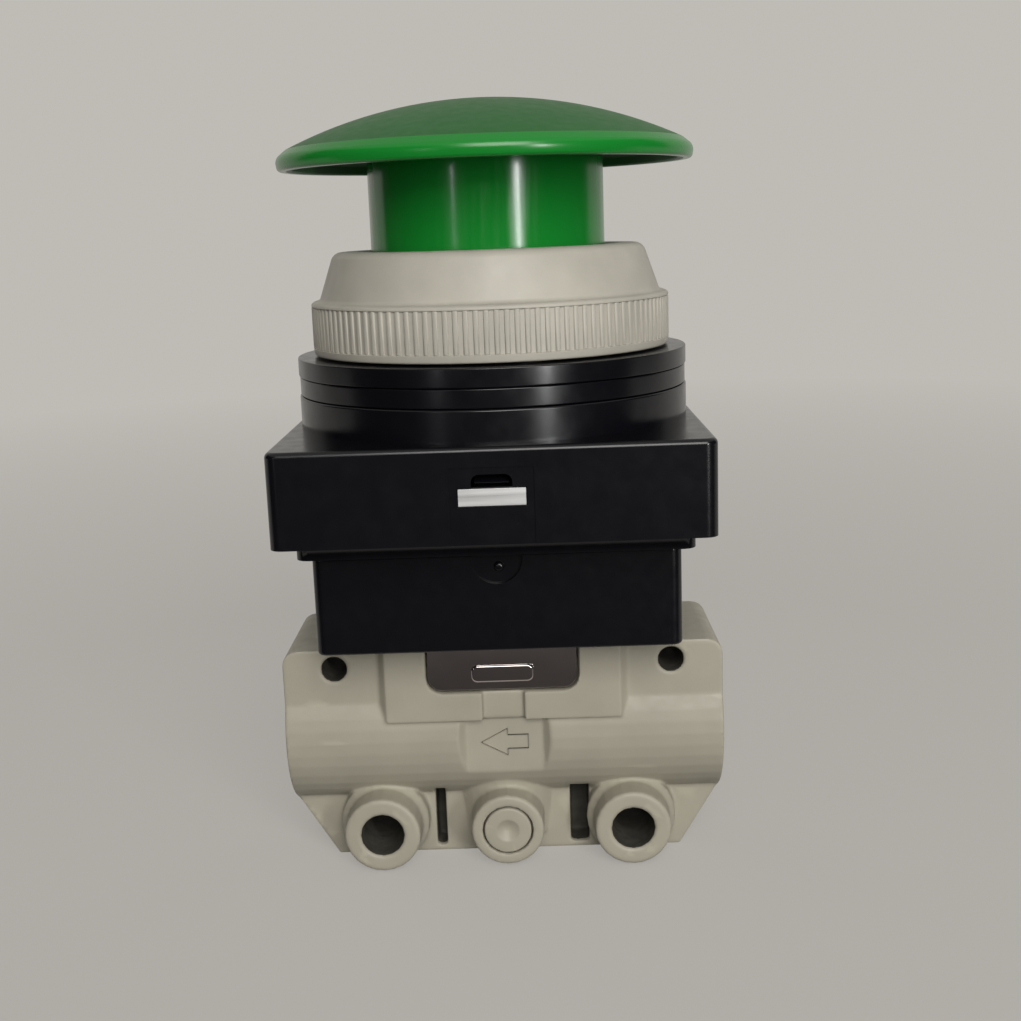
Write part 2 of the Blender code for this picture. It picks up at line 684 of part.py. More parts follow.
def body_recesses(tools):
    """The bracket's seats and slots, the arrow pad, the cored pockets and the level underside."""
    seat_x = BRACKET_WIDTH / 2 + SEAT_SIDE_GAP
    seat_floor = LEG_INNER - GAP
    frame_base = BODY_HEIGHT - FRAME_DROP
    seat_low = frame_base + SEAT_RAIL
    out = FRAME_DEPTH / 2 + SPILL
    top = BODY_HEIGHT + SPILL
    seat = [(-seat_x, seat_low, SEAT_CORNER), (seat_x, seat_low, SEAT_CORNER)]
    seat += [(seat_x, top, 0), (-seat_x, top, 0)]
    cuts = []
    for side, sign in (("front", -1), ("rear", 1)):
        near, far = sorted((-sign * seat_floor, -sign * out))
        cuts.append(prism(side + " bracket seat", rounded(seat), near, far, tools, ALONG_Y))
        near, far = sorted((sign * (FRAME_DEPTH / 2 - SLOT_DEPTH), sign * out))
        low = (-SLOT_WIDTH / 2, near, frame_base - GAP)
        high = (SLOT_WIDTH / 2, far, seat_low + SPILL)
        cuts.append(box(side + " slot", low, high, tools))
        near, far = sorted((sign * CORE_POCKET_FLOOR, sign * (WING_THICKNESS / 2 + SPILL)))
        for hand, way, width in (("left", -1, LEFT_POCKET_WIDTH), ("right", 1, RIGHT_POCKET_WIDTH)):
            inner = COLUMN_DIAMETER / 2
            ends = sorted((way * inner, way * (inner + width)))
            low, high = (ends[0], near, CORE_POCKET_BOTTOM), (ends[1], far, CORE_POCKET_TOP)
            cuts.append(box(side + " " + hand + " pocket", low, high, tools))
    surface = BARREL_DIAMETER / 2
    floor_half = PAD_WIDTH / 2
    spread = PAD_FLARE * (PAD_DEPTH + SPILL) / PAD_DEPTH
    pad_plan = [(-floor_half - spread, -surface - SPILL), (floor_half + spread, -surface - SPILL)]
    pad_plan += [(floor_half, PAD_DEPTH - surface), (-floor_half, PAD_DEPTH - surface)]
    cuts.append(prism("arrow pad", pad_plan, PORT_HEIGHT - PAD_BELOW_AXIS, frame_base, tools))
    half = BODY_LENGTH / 2
    cuts.append(box("underside trim", (-half, -half, -BOSS_FLARE - SPILL), (half, half, 0), tools))
    return cuts


def make_valve_body(parts, tools, metal):
    """The die-cast body: block, frame, barrel, column and wing, bored for the valve."""
    half = BODY_LENGTH / 2
    outline = rounded(
        [
            (-half, PORT_HEIGHT, 0),
            (half, PORT_HEIGHT, 0),
            (half, BODY_HEIGHT, BLOCK_CORNER),
            (-half, BODY_HEIGHT, BLOCK_CORNER),
        ]
    )
    body = prism("valve_body", outline, -BLOCK_DEPTH / 2, BLOCK_DEPTH / 2, parts, ALONG_Y)
    join(body, *body_blanks(tools))
    cut(body, *body_recesses(tools), *body_ports(tools), *body_holes(tools))
    return finish(body, metal)


def make_cross_hole_plug(parts, metal):
    """The dimpled disc pressed into the front boss."""
    radius = PLUG_DIAMETER / 2
    face, back = PLUG_BOSS_FACE, PLUG_BOSS_FACE - PLUG_THICKNESS
    dimple = PLUG_DIMPLE / 2
    profile = [(0, face - dimple), (dimple, face), (radius - HOLE_CHAMFER, face)]
    profile += [(radius, face - HOLE_CHAMFER), (radius, back), (0, back)]
    at = (0, 0, BOSS_HEIGHT)
    return finish(turned("cross_hole_plug", profile, parts, COARSE, False, ALONG_Y, at), metal)


# Seat, poppet, plunger and guide


def make_valve_seat(parts, brass):
    """The seat ring on the ledge of the bore, with the nib that the poppet closes on."""
    outer, hole = GUIDE_DIAMETER / 2, SEAT_HOLE / 2
    nib = hole + SEAT_NIB_WIDTH
    profile = [(outer, SEAT_TOP), (outer, SEAT_BASE), (nib, SEAT_BASE), (nib, NIB_TIP)]
    profile += [(hole, NIB_TIP), (hole, SEAT_TOP)]
    return finish(turned("valve_seat", profile, parts, COARSE), brass)


def ring_profile(middle, height, section):
    """A ring's section as a hexagon's points, running down the outer side first."""
    angles = [QUARTER - math.tau * step / HEXAGON for step in range(HEXAGON)]
    radius = section / 2
    return [(middle + radius * math.cos(a), height + radius * math.sin(a)) for a in angles]


def make_seals(parts, rubber):
    """The seat's ring, the guide's outer ring and the lip ring round the plunger."""
    middle = BORE_DIAMETER / 2 - GAP / 2 - SEAL_SECTION / 2
    height = SEAT_TOP + GAP + SEAL_SECTION / 2
    finish(turned("seat_ring_seal", ring_profile(middle, height, SEAL_SECTION), parts, COARSE), rubber)
    middle = BORE_DIAMETER / 2 - GAP / 2 - GUIDE_RING_SECTION / 2
    section = ring_profile(middle, guide_groove_middle(), GUIDE_RING_SECTION)
    finish(turned("guide_ring_seal", section, parts, COARSE), rubber)
    outer, inner = GUIDE_SEAL_POCKET / 2 - GAP, PLUNGER_DIAMETER / 2 + GAP
    low, high = GUIDE_BASE + GAP, GUIDE_BASE + GUIDE_SEAL_DEPTH - GAP
    waist = (outer + inner) / 2
    profile = [(outer, high), (outer, low), (waist, (low + high) / 2), (inner, low), (inner, high)]
    finish(turned("plunger_seal", profile, parts, COARSE), rubber)


def guide_groove_middle():
    """Height of the groove for the guide's outer ring."""
    return GUIDE_TOP - GUIDE_GROOVE_WIDTH / 2 - (GUIDE_HEIGHT - GUIDE_GROOVE_WIDTH) / 2


def make_plunger_guide(parts, brass):
    """The bush that closes the bore, guides the plunger and holds both of its rings."""
    outer = GUIDE_DIAMETER / 2
    groove = outer - GUIDE_GROOVE_DEPTH
    middle, half = guide_groove_middle(), GUIDE_GROOVE_WIDTH / 2
    seal_top = GUIDE_BASE + GUIDE_SEAL_DEPTH
    profile = [(outer, GUIDE_TOP), (outer, middle + half), (groove, middle + half)]
    profile += [(groove, middle - half), (outer, middle - half), (outer, GUIDE_BASE)]
    profile += [(GUIDE_SEAL_POCKET / 2, GUIDE_BASE), (GUIDE_SEAL_POCKET / 2, seal_top)]
    profile += [(PLUNGER_FIT / 2, seal_top), (PLUNGER_FIT / 2, GUIDE_POCKET_FLOOR)]
    profile += [(GUIDE_POCKET / 2, GUIDE_POCKET_FLOOR), (GUIDE_POCKET / 2, GUIDE_TOP)]
    return finish(turned("plunger_guide", profile, parts, COARSE), brass)


def make_plunger(parts, tools, brass):
    """The hollow plunger: its tip shuts the exhaust on the poppet, its head takes the push rod."""
    shaft, head = PLUNGER_DIAMETER / 2, PLUNGER_HEAD / 2
    head_base = PLUNGER_TOP - PLUNGER_HEAD_THICKNESS
    bore_top = head_base - PLUNGER_HEAD_THICKNESS / 2
    bore = PLUNGER_BORE / 2
    profile = [(0, PLUNGER_TOP), (head - HOLE_CHAMFER, PLUNGER_TOP), (head, PLUNGER_TOP - HOLE_CHAMFER)]
    profile += [(head, head_base), (shaft, head_base), (shaft, SHOULDER_TOP)]
    profile += [(PLUNGER_SHOULDER / 2, SHOULDER_TOP), (PLUNGER_SHOULDER / 2, SHOULDER_BASE)]
    profile += [(shaft, SHOULDER_BASE), (shaft, PLUNGER_TIP), (bore, PLUNGER_TIP)]
    profile += [(bore, bore_top), (0, bore_top)]
    plunger = turned("plunger", profile, parts, COARSE, closed=False)
    vent_height = (GUIDE_TOP + head_base) / 2
    reach = shaft + SPILL
    at = (0, 0, vent_height)
    cut(plunger, rod("plunger vent", PLUNGER_VENT, -reach, reach, tools, at, ALONG_X, steps=TINY))
    return finish(plunger, brass)


def make_poppet(parts, brass, rubber):
    """The cup-shaped poppet and the seal disc that it carries."""
    outer = POPPET_DIAMETER / 2
    disc = outer - POPPET_SEAL_WALL
    bottom = POPPET_TOP - POPPET_HEIGHT
    floor = POPPET_TOP - POPPET_SEAL_THICKNESS - GAP
    rim = POPPET_TOP - GAP
    cup = outer - POPPET_WALL
    ceiling = POPPET_TOP - POPPET_CROWN - POPPET_SEAL_THICKNESS
    profile = [(0, floor), (disc, floor), (disc, rim), (outer, rim), (outer, bottom)]
    profile += [(cup, bottom), (cup, ceiling), (0, ceiling)]
    finish(turned("poppet", profile, parts, COARSE, closed=False), brass)
    radius = disc - GAP
    base = POPPET_TOP - POPPET_SEAL_THICKNESS
    seal = rod("poppet_seal", 2 * radius, base, POPPET_TOP, parts)
    finish(seal, rubber)


def make_springs(parts, steel):
    """The poppet's, the plunger's and the button's springs."""
    ceiling = POPPET_TOP - POPPET_CROWN - POPPET_SEAL_THICKNESS
    low, high = CHAMBER_BOTTOM + GAP, ceiling - GAP
    finish(coil("poppet_spring", POPPET_COIL, POPPET_WIRE, low, high, POPPET_TURNS, parts), steel)
    low, high = GUIDE_POCKET_FLOOR + GAP, PLUNGER_TOP - PLUNGER_HEAD_THICKNESS - GAP
    finish(coil("plunger_spring", PLUNGER_COIL, PLUNGER_WIRE, low, high, PLUNGER_TURNS, parts), steel)
    low, high = DECK_TOP + GAP, ROD_FLANGE_BASE - GAP
    finish(coil("return_spring", RETURN_COIL, RETURN_WIRE, low, high, RETURN_TURNS, parts), steel)


# Bracket, screws and housings


def make_bracket(parts, tools, steel):
    """The bent steel bracket: a top plate with two side wings and a leg down each face of the body."""
    outer, inner = LEG_OUTER, LEG_INNER
    bend = BRACKET_BEND
    inner_bend = max(bend - BRACKET_THICKNESS, BRACKET_THICKNESS / 4)
    leg_top = BRACKET_BASE - BRACKET_THICKNESS
    arch = rounded(
        [
            (-outer, leg_top, 0),
            (-inner, leg_top, 0),
            (-inner, BRACKET_BASE, inner_bend),
            (inner, BRACKET_BASE, inner_bend),
            (inner, leg_top, 0),
            (outer, leg_top, 0),
            (outer, BRACKET_TOP, bend),
            (-outer, BRACKET_TOP, bend),
        ]
    )
    half = BRACKET_WIDTH / 2
    upright = Matrix.Rotation(QUARTER, 4, "Z") @ ALONG_Y
    bracket = prism("actuator_bracket", arch, -half, half, parts, upright)
    low = BODY_HEIGHT - BRACKET_LEG
    corner = BRACKET_LEG_CORNER
    leg_corners = [(-half, low, corner), (half, low, corner)]
    leg_corners += [(half, leg_top + GAP, 0), (-half, leg_top + GAP, 0)]
    leg = rounded(leg_corners)
    front = prism("front leg", leg, inner, outer, tools, ALONG_Y)
    rear = prism("rear leg", leg, -outer, -inner, tools, ALONG_Y)
    plate = rectangle(BRACKET_WING_LENGTH, BRACKET_WING_WIDTH, BRACKET_LEG_CORNER)
    wings = prism("bracket wings", plate, BRACKET_BASE, BRACKET_TOP, tools)
    middle = BODY_HEIGHT - STAMP_DROP
    stamp_low = (-STAMP_WIDTH / 2, -outer - STAMP_RISE, middle - STAMP_HEIGHT / 2)
    stamp_high = (STAMP_WIDTH / 2, -inner - GAP, middle + STAMP_HEIGHT / 2)
    stamp = box("stamped pad", stamp_low, stamp_high, tools)
    join(bracket, front, rear, wings, stamp)
    top, bottom = BRACKET_TOP + SPILL, BRACKET_BASE - SPILL
    holes = [rod("bracket centre hole", BRACKET_HOLE, bottom, top, tools, steps=MEDIUM)]
    width = BRACKET_SCREW + 2 * SCREW_CLEARANCE
    for side, sign in (("left", -1), ("right", 1)):
        at = (sign * BRACKET_SCREW_X, 0)
        holes.append(rod(side + " bracket hole", width, bottom, top, tools, at, steps=TINY))
    cut(bracket, *holes)
    return finish(bracket, steel)


def pan_screw(name, at, diameter, head, head_height, tip, seat, collection, tools):
    """A pan-head screw from its tip up to its hexagon-socket head, which sits on seat."""
    top = seat + head_height
    thread, cap = diameter / 2, head / 2
    crown = head_height / 2
    profile = [(0, top), (cap - crown / 2, top), (cap, top - crown), (cap, seat), (thread, seat)]
    profile += [(thread, tip + thread), (thread / 2, tip), (0, tip)]
    screw = turned(name, profile, collection, TINY, False, UPRIGHT, (at[0], at[1], 0.0))
    socket, depth = SCREW_SOCKET / 2, SCREW_SOCKET_DEPTH
    cut(screw, rod(name + " socket", 2 * socket, top - depth, top + SPILL, tools, at, steps=HEXAGON))
    return screw


def make_screws(name, places, sizes, parts, tools, steel):
    """Identical screws, one at each place."""
    for i, at in enumerate(places, 1):
        finish(pan_screw(f"{name}_{i}", at, *sizes, parts, tools), steel)


def make_lower_housing(parts, tools, plastic):
    """The cup between bracket and adapter, with a post in each corner for the adapter's screws."""
    outline = rectangle(LOWER_WIDTH, LOWER_DEPTH, LOWER_CORNER)
    housing = prism("lower_housing", outline, LOWER_BASE, LOWER_TOP, parts)
    soften(housing, LOWER_EDGE)
    inside = rectangle(LOWER_WIDTH - 2 * LOWER_WALL, LOWER_DEPTH - 2 * LOWER_WALL)
    cavity = prism("lower cavity", inside, LOWER_FLOOR_TOP, LOWER_TOP + SPILL, tools)
    cut(housing, cavity)
    post_low = LOWER_FLOOR_TOP - LOWER_WALL / 2
    places = list(enumerate(post_places(), 1))
    posts = [rod(f"post {i}", POST_DIAMETER, post_low, LOWER_TOP - GAP, tools, at) for i, at in places]
    join(housing, *posts)
    low, high = LOWER_BASE - SPILL, LOWER_FLOOR_TOP + SPILL
    holes = [rod("plunger opening", LOWER_HOLE, low, high, tools, steps=MEDIUM)]
    width = BRACKET_SCREW + 2 * SCREW_CLEARANCE
    for side, sign in (("left", -1), ("right", 1)):
        at = (sign * BRACKET_SCREW_X, 0)
        holes.append(rod(side + " floor hole", width, low, high, tools, at, steps=TINY))
    hole = ADAPTER_SCREW + 2 * SCREW_CLEARANCE
    hole_low = LIP_BASE - ADAPTER_SCREW_BITE - GAP * 2
    for i, at in places:
        holes.append(rod(f"post hole {i}", hole, hole_low, LOWER_TOP + SPILL, tools, at, steps=TINY))
    face = LOWER_DEPTH / 2
    dish_at = (0, 0, LOWER_TOP - GATE_DISH_DROP)
    dish = rod("gate dish", GATE_DISH, face - GATE_DISH_DEPTH, face + SPILL, tools, dish_at, ALONG_Y)
    cut(housing, dish, *holes)
    return finish(housing, plastic)


def post_places():
    """Where the adapter's four screws go."""
    return [(sx * POST_X, sy * POST_Y) for sx in (-1, 1) for sy in (-1, 1)]


def hook_outline():
    """The snap hook from the side, as (depth, height): an arm and a barb that slopes down outwards."""
    outer = DECK_DEPTH / 2
    inner = outer - HOOK_THICKNESS
    window_base = UPPER_TOP - WINDOW_DROP - WINDOW_HEIGHT
    barb_base = window_base + GAP
    barb_top = barb_base + HOOK_BARB_HEIGHT
    low = DECK_TOP - DECK_THICKNESS / 2
    return [
        (inner, low),
        (outer, low),
        (outer, barb_base),
        (outer + HOOK_BARB, barb_base),
        (outer + HOOK_BARB, barb_base + HOOK_BARB_HEIGHT / 4),
        (outer, barb_top),
        (inner, barb_top),
    ]


def make_adapter(parts, tools, plastic):
    """The plate that joins the housings: lip, deck, guide tower, stop ridge and two snap hooks."""
    lip = rectangle(LOWER_WIDTH + 2 * LIP_OVERHANG, LIP_DEPTH, LOWER_CORNER)
    adapter = prism("adapter_plate", lip, LIP_BASE, LIP_TOP, parts)
    deck = prism("deck", rectangle(DECK_WIDTH, DECK_DEPTH, GAP), LIP_TOP - GAP, DECK_TOP, tools)
    tower = rod("guide tower", TOWER_DIAMETER, LIP_BASE + GAP, TOWER_TOP, tools, steps=MEDIUM)
    outer = BUTTON_SKIRT / 2 + GAP
    inner = outer - STOP_RIDGE_WIDTH
    ridge_foot = DECK_TOP - DECK_THICKNESS / 2
    ridge_profile = [(outer, STOP_RIDGE_TOP), (outer, ridge_foot)]
    ridge_profile += [(inner, ridge_foot), (inner, STOP_RIDGE_TOP)]
    ridge = turned("stop ridge", ridge_profile, tools, MEDIUM)
    half = HOOK_WIDTH / 2
    front_turn = Matrix.Rotation(-QUARTER, 4, "Z") @ ALONG_Y
    rear_turn = Matrix.Rotation(QUARTER, 4, "Z") @ ALONG_Y
    front = prism("front hook", hook_outline(), -half, half, tools, front_turn)
    rear = prism("rear hook", hook_outline(), -half, half, tools, rear_turn)
    join(adapter, deck, tower, ridge, front, rear)
    low = LIP_BASE - SPILL
    holes = [rod("rod bore", TOWER_BORE, low, TOWER_TOP + SPILL, tools)]
    hole = ADAPTER_SCREW + 2 * SCREW_CLEARANCE
    for i, at in enumerate(post_places(), 1):
        holes.append(rod(f"deck hole {i}", hole, low, DECK_TOP + SPILL, tools, at, steps=TINY))
    cut(adapter, *holes)
    return finish(adapter, plastic)


def make_upper_housing(parts, tools, plastic):
    """The square housing with the collar and the threaded sleeve that pass through the panel."""
    outline = rectangle(UPPER_WIDTH, UPPER_DEPTH, UPPER_CORNER)
    housing = prism("upper_housing", outline, UPPER_BASE, UPPER_TOP, parts)
    soften(housing, UPPER_EDGE, 3)
    foot = prism("housing foot", outline, UPPER_BASE, UPPER_TOP - UPPER_HEIGHT / 2, tools)
    collar, sleeve = COLLAR_DIAMETER / 2, SLEEVE_DIAMETER / 2
    neck_profile = [(0, SLEEVE_TOP), (sleeve - HOLE_CHAMFER, SLEEVE_TOP)]
    neck_profile += [(sleeve, SLEEVE_TOP - HOLE_CHAMFER)]
    neck_profile += [(sleeve, COLLAR_TOP), (collar - HOLE_CHAMFER, COLLAR_TOP)]
    neck_profile += [(collar, COLLAR_TOP - HOLE_CHAMFER), (collar, UPPER_TOP - UPPER_ROOF / 2)]
    neck_profile += [(0, UPPER_TOP - UPPER_ROOF / 2)]
    neck = turned("collar and sleeve", neck_profile, tools, closed=False)
    front = -UPPER_DEPTH / 2
    join(housing, foot, neck)
    inside = rectangle(UPPER_WIDTH - 2 * UPPER_WALL, UPPER_DEPTH - 2 * UPPER_WALL)
    cuts = [prism("upper cavity", inside, UPPER_BASE - SPILL, UPPER_TOP - UPPER_ROOF, tools)]
    bore, room = SLEEVE_BORE / 2, STOP_RING_ROOM / 2
    bore_profile = [(0, SLEEVE_TOP + SPILL), (bore, SLEEVE_TOP + SPILL), (bore, BORE_LEDGE)]
    bore_profile += [(room, BORE_LEDGE), (room, UPPER_TOP - UPPER_ROOF - SPILL)]
    bore_profile += [(0, UPPER_TOP - UPPER_ROOF - SPILL)]
    cuts.append(turned("button bore", bore_profile, tools, closed=False))
    window_top = UPPER_TOP - WINDOW_DROP
    window_base = window_top - WINDOW_HEIGHT
    half = WINDOW_WIDTH / 2
    reach = UPPER_DEPTH / 2 + SPILL
    wall = UPPER_DEPTH / 2 - UPPER_WALL - SPILL
    cuts.append(box("front window", (-half, -reach, window_base), (half, -wall, window_top), tools))
    cuts.append(box("rear window", (-half, wall, window_base), (half, reach, window_top), tools))
    label_low = (-LABEL_WIDTH / 2, -reach, window_base - LABEL_HEIGHT)
    label_high = (LABEL_WIDTH / 2, front + TONGUE_DEPTH + LABEL_DEPTH, window_base)
    cuts.append(box("label recess", label_low, label_high, tools))
    tongue_low = (-TONGUE_WIDTH / 2, -reach, UPPER_BASE - SPILL)
    tongue_high = (TONGUE_WIDTH / 2, front + TONGUE_DEPTH, UPPER_BASE + TONGUE_HEIGHT)
    cuts.append(box("front tongue", tongue_low, tongue_high, tools))
    cut(housing, *cuts)
    return finish(housing, plastic)


# Clamping rings, nut and button


def make_ring(name, base, outer, parts, plastic):
    """A flat clamping ring round the sleeve, on either side of the panel."""
    inner, top = RING_BORE / 2, base + RING_THICKNESS
    edge = HOLE_CHAMFER
    profile = [(inner, top), (outer - edge, top), (outer, top - edge), (outer, base + edge)]
    profile += [(outer - edge, base), (inner, base)]
    return finish(turned(name, profile, parts), plastic)


def knurled_flange(tools):
    """The nut's flange: a disc whose every second column is pressed in between two plain edges."""
    radius = NUT_FLANGE / 2
    columns = 2 * int(round(KNURL_COUNT))
    levels = [
        (radius - NUT_EDGE, NUT_BASE),
        (radius, NUT_BASE + KNURL_FOOT),
        (radius, NUT_SHOULDER - KNURL_HEAD),
        (radius - NUT_EDGE, NUT_SHOULDER),
    ]
    shape = bmesh.new()
    start = [shape.verts.new((level_radius, 0, height)) for level_radius, height in levels]
    line = [shape.edges.new(pair) for pair in zip(start, start[1:])]
    bmesh.ops.spin(
        shape,
        geom=start + line,
        cent=(0, 0, 0),
        axis=(0, 0, 1),
        angle=math.tau,
        steps=columns,
        use_merge=True,
    )
    pitch = math.tau / columns
    for vert in shape.verts:
        column = int(round(math.atan2(vert.co.y, vert.co.x) / pitch))
        on_rib = NUT_BASE + NUT_EDGE / 4 < vert.co.z < NUT_SHOULDER - NUT_EDGE / 4
        if column % 2 and on_rib:
            vert.co.xy = vert.co.xy * (1 - KNURL_DEPTH / radius)
    rims = [edge for edge in shape.edges if edge.is_boundary]
    bmesh.ops.holes_fill(shape, edges=rims)
    bmesh.ops.recalc_face_normals(shape, faces=shape.faces)
    mesh = bpy.data.meshes.new("knurled flange")
    shape.to_mesh(mesh)
    shape.free()
    return add_object("ring_nut", mesh, tools)


def make_ring_nut(parts, tools, plastic):
    """The knurled panel nut: flange, cone and an inturned roof over the sleeve."""
    nut = knurled_flange(parts)
    foot, top = NUT_CONE_FOOT / 2, NUT_CONE_TOP / 2
    cone_profile = [(0, NUT_TOP), (top - NUT_TOP_EDGE, NUT_TOP), (top, NUT_TOP - NUT_TOP_EDGE)]
    cone_profile += [(foot, NUT_SHOULDER), (foot, NUT_SHOULDER - NUT_EDGE), (0, NUT_SHOULDER - NUT_EDGE)]
    join(nut, turned("nut cone", cone_profile, tools, closed=False))
    bore, mouth, roof = RING_BORE / 2, NUT_MOUTH / 2, NUT_TOP - NUT_ROOF
    bore_profile = [(0, NUT_TOP + SPILL), (mouth, NUT_TOP + SPILL), (mouth, roof), (bore, roof)]
    bore_profile += [(bore, NUT_BASE - SPILL), (0, NUT_BASE - SPILL)]
    cut(nut, turned("nut bore", bore_profile, tools, closed=False))
    return finish(nut, plastic)


def dome_height(radius, crown, sphere):
    """Height of a dome's surface at a distance from its axis."""
    return crown - sphere + math.sqrt(sphere**2 - radius**2)


def make_button(parts, plastic):
    """The mushroom and its skirt, moulded in one: a domed shell, a rounded rim and a hollow stem."""
    edge = BUTTON_DIAMETER / 2
    top_edge = edge - RIM_ROUND
    dome = [top_edge * step / DOME_STEPS for step in range(DOME_STEPS + 1)]
    profile = [(radius, dome_height(radius, CROWN_TOP, DOME_RADIUS)) for radius in dome]
    rim_top = profile[-1][1]
    rim_base = rim_top - RIM_HEIGHT
    profile += [(edge, rim_top - RIM_ROUND), (edge - RIM_LIP, rim_base)]
    inside = edge - RIM_WALL
    profile += [(inside, rim_base), (inside, rim_top - RIM_ROUND)]
    skirt = BUTTON_SKIRT / 2
    under = dome_height(skirt, CROWN_TOP, DOME_RADIUS) - RIM_WALL
    profile += [(skirt + RIM_WALL, under), (skirt, under - RIM_WALL / 2)]
    groove = skirt - STOP_RING_GROOVE
    profile += [(skirt, STOP_RING_TOP + GAP), (groove, STOP_RING_TOP + GAP)]
    profile += [(groove, STOP_RING_BASE - GAP), (skirt, STOP_RING_BASE - GAP), (skirt, SKIRT_BASE)]
    bore, socket = SKIRT_BORE / 2, SOCKET_DIAMETER / 2
    ceiling = CROWN_TOP - CROWN_WALL
    profile += [(bore, SKIRT_BASE), (bore, ROD_SEAT), (socket, ROD_SEAT)]
    profile += [(socket, dome_height(socket, ceiling, DOME_RADIUS)), (0, ceiling)]
    return finish(turned("mushroom_button", profile, parts, closed=False), plastic)


def make_stop_ring(parts, steel):
    """The ring in the skirt's groove that stops the button under the sleeve."""
    inner = BUTTON_SKIRT / 2 - STOP_RING_GROOVE + GAP
    outer = STOP_RING_DIAMETER / 2
    profile = [(outer, STOP_RING_TOP), (outer, STOP_RING_BASE)]
    profile += [(inner, STOP_RING_BASE), (inner, STOP_RING_TOP)]
    return finish(turned("button_stop_ring", profile, parts), steel)


def make_push_rod(parts, plastic):
    """The rod that carries the button's push down to the plunger, with the flange the spring lifts."""
    shaft, flange = ROD_DIAMETER / 2, SKIRT_BORE / 2 - GAP
    blend = ROD_FLANGE_THICKNESS / 2
    profile = [(0, ROD_FLANGE_TOP), (flange, ROD_FLANGE_TOP), (flange, ROD_FLANGE_BASE)]
    profile += [(shaft + blend, ROD_FLANGE_BASE), (shaft, ROD_FLANGE_BASE - blend)]
    profile += [(shaft, ROD_TIP + HOLE_CHAMFER), (shaft - HOLE_CHAMFER, ROD_TIP), (0, ROD_TIP)]
    return finish(turned("push_rod", profile, parts, COARSE, closed=False), plastic)


def main():
    """Builds every piece of the valve."""
    clear_scene()
    parts = add_collection("mushroom push-button valve")
    tools = add_collection(TOOLS)
    tools.hide_render = True
    casting = add_material("painted casting", (0.37, 0.345, 0.27), 0.55)
    brass = add_material("brass", (0.72, 0.56, 0.30), 0.35, 1.0)
    steel = add_material("plated steel", (0.70, 0.70, 0.69), 0.25, 1.0)
    spring_steel = add_material("spring steel", (0.55, 0.55, 0.55), 0.35, 1.0)
    rubber = add_material("nitrile rubber", (0.03, 0.03, 0.03), 0.75)
    black = add_material("black plastic", (0.0065, 0.0065, 0.009), 0.45)
    cream = add_material("off-white plastic", (0.60, 0.565, 0.48), 0.45)
    green = add_material("green button plastic", (0.008, 0.20, 0.022), 0.3)

    make_valve_body(parts, tools, casting)
    make_cross_hole_plug(parts, casting)
    make_valve_seat(parts, brass)
    make_seals(parts, rubber)
    make_plunger_guide(parts, brass)
    make_plunger(parts, tools, brass)
    make_poppet(parts, brass, rubber)
    make_springs(parts, spring_steel)
    make_bracket(parts, tools, steel)
    make_lower_housing(parts, tools, black)
    make_adapter(parts, tools, black)
    make_upper_housing(parts, tools, black)
    screw_places = [(-BRACKET_SCREW_X, 0.0), (BRACKET_SCREW_X, 0.0)]
    sizes = (BRACKET_SCREW, BRACKET_SCREW_HEAD, BRACKET_SCREW_HEAD_HEIGHT)
    levels = (BODY_HEIGHT - BRACKET_SCREW_BITE, LOWER_FLOOR_TOP + GAP)
    make_screws("bracket_screw", screw_places, sizes + levels, parts, tools, steel)
    sizes = (ADAPTER_SCREW, ADAPTER_SCREW_HEAD, ADAPTER_SCREW_HEAD_HEIGHT)
    levels = (LIP_BASE - ADAPTER_SCREW_BITE, DECK_TOP + GAP)
    make_screws("adapter_screw", post_places(), sizes + levels, parts, tools, steel)
    make_ring("lower_clamp_ring", LOWER_RING_BASE, COLLAR_DIAMETER / 2 - RING_INSET, parts, black)
    make_ring("upper_clamp_ring", UPPER_RING_BASE, COLLAR_DIAMETER / 2, parts, black)
    make_ring_nut(parts, tools, cream)
    make_button(parts, green)
    make_stop_ring(parts, steel)
    make_push_rod(parts, black)


main()
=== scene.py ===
"""The finished look of a mushroom push-button valve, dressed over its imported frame.

Metres, +Z up and -Y the front. Each operator makes one piece, or a group of like pieces, and says
which body it rides on. The outer sizes come from the frame, and the hidden ones repeat the part's
own values. The cast fillets, moulded edges, knurling and finishes are made here.
"""

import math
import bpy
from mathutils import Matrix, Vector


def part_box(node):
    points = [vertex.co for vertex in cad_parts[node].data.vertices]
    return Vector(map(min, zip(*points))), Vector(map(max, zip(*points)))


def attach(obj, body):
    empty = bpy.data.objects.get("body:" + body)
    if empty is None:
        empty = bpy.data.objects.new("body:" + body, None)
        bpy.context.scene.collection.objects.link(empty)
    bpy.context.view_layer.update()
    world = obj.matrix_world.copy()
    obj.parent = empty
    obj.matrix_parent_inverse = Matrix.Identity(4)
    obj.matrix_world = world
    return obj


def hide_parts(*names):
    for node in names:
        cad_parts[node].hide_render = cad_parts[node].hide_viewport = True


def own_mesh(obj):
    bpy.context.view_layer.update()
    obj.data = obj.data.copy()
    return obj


bl_info = {
    "name": "Mushroom push-button valve",
    "version": (1, 0, 0),
    "blender": (4, 5, 0),
    "location": "3D View > Sidebar > Valve",
    "description": "Dresses the frame of a mushroom push-button valve with finished pieces",
    "category": "Object",
}

import bmesh
import bpy
from mathutils import Matrix, Vector

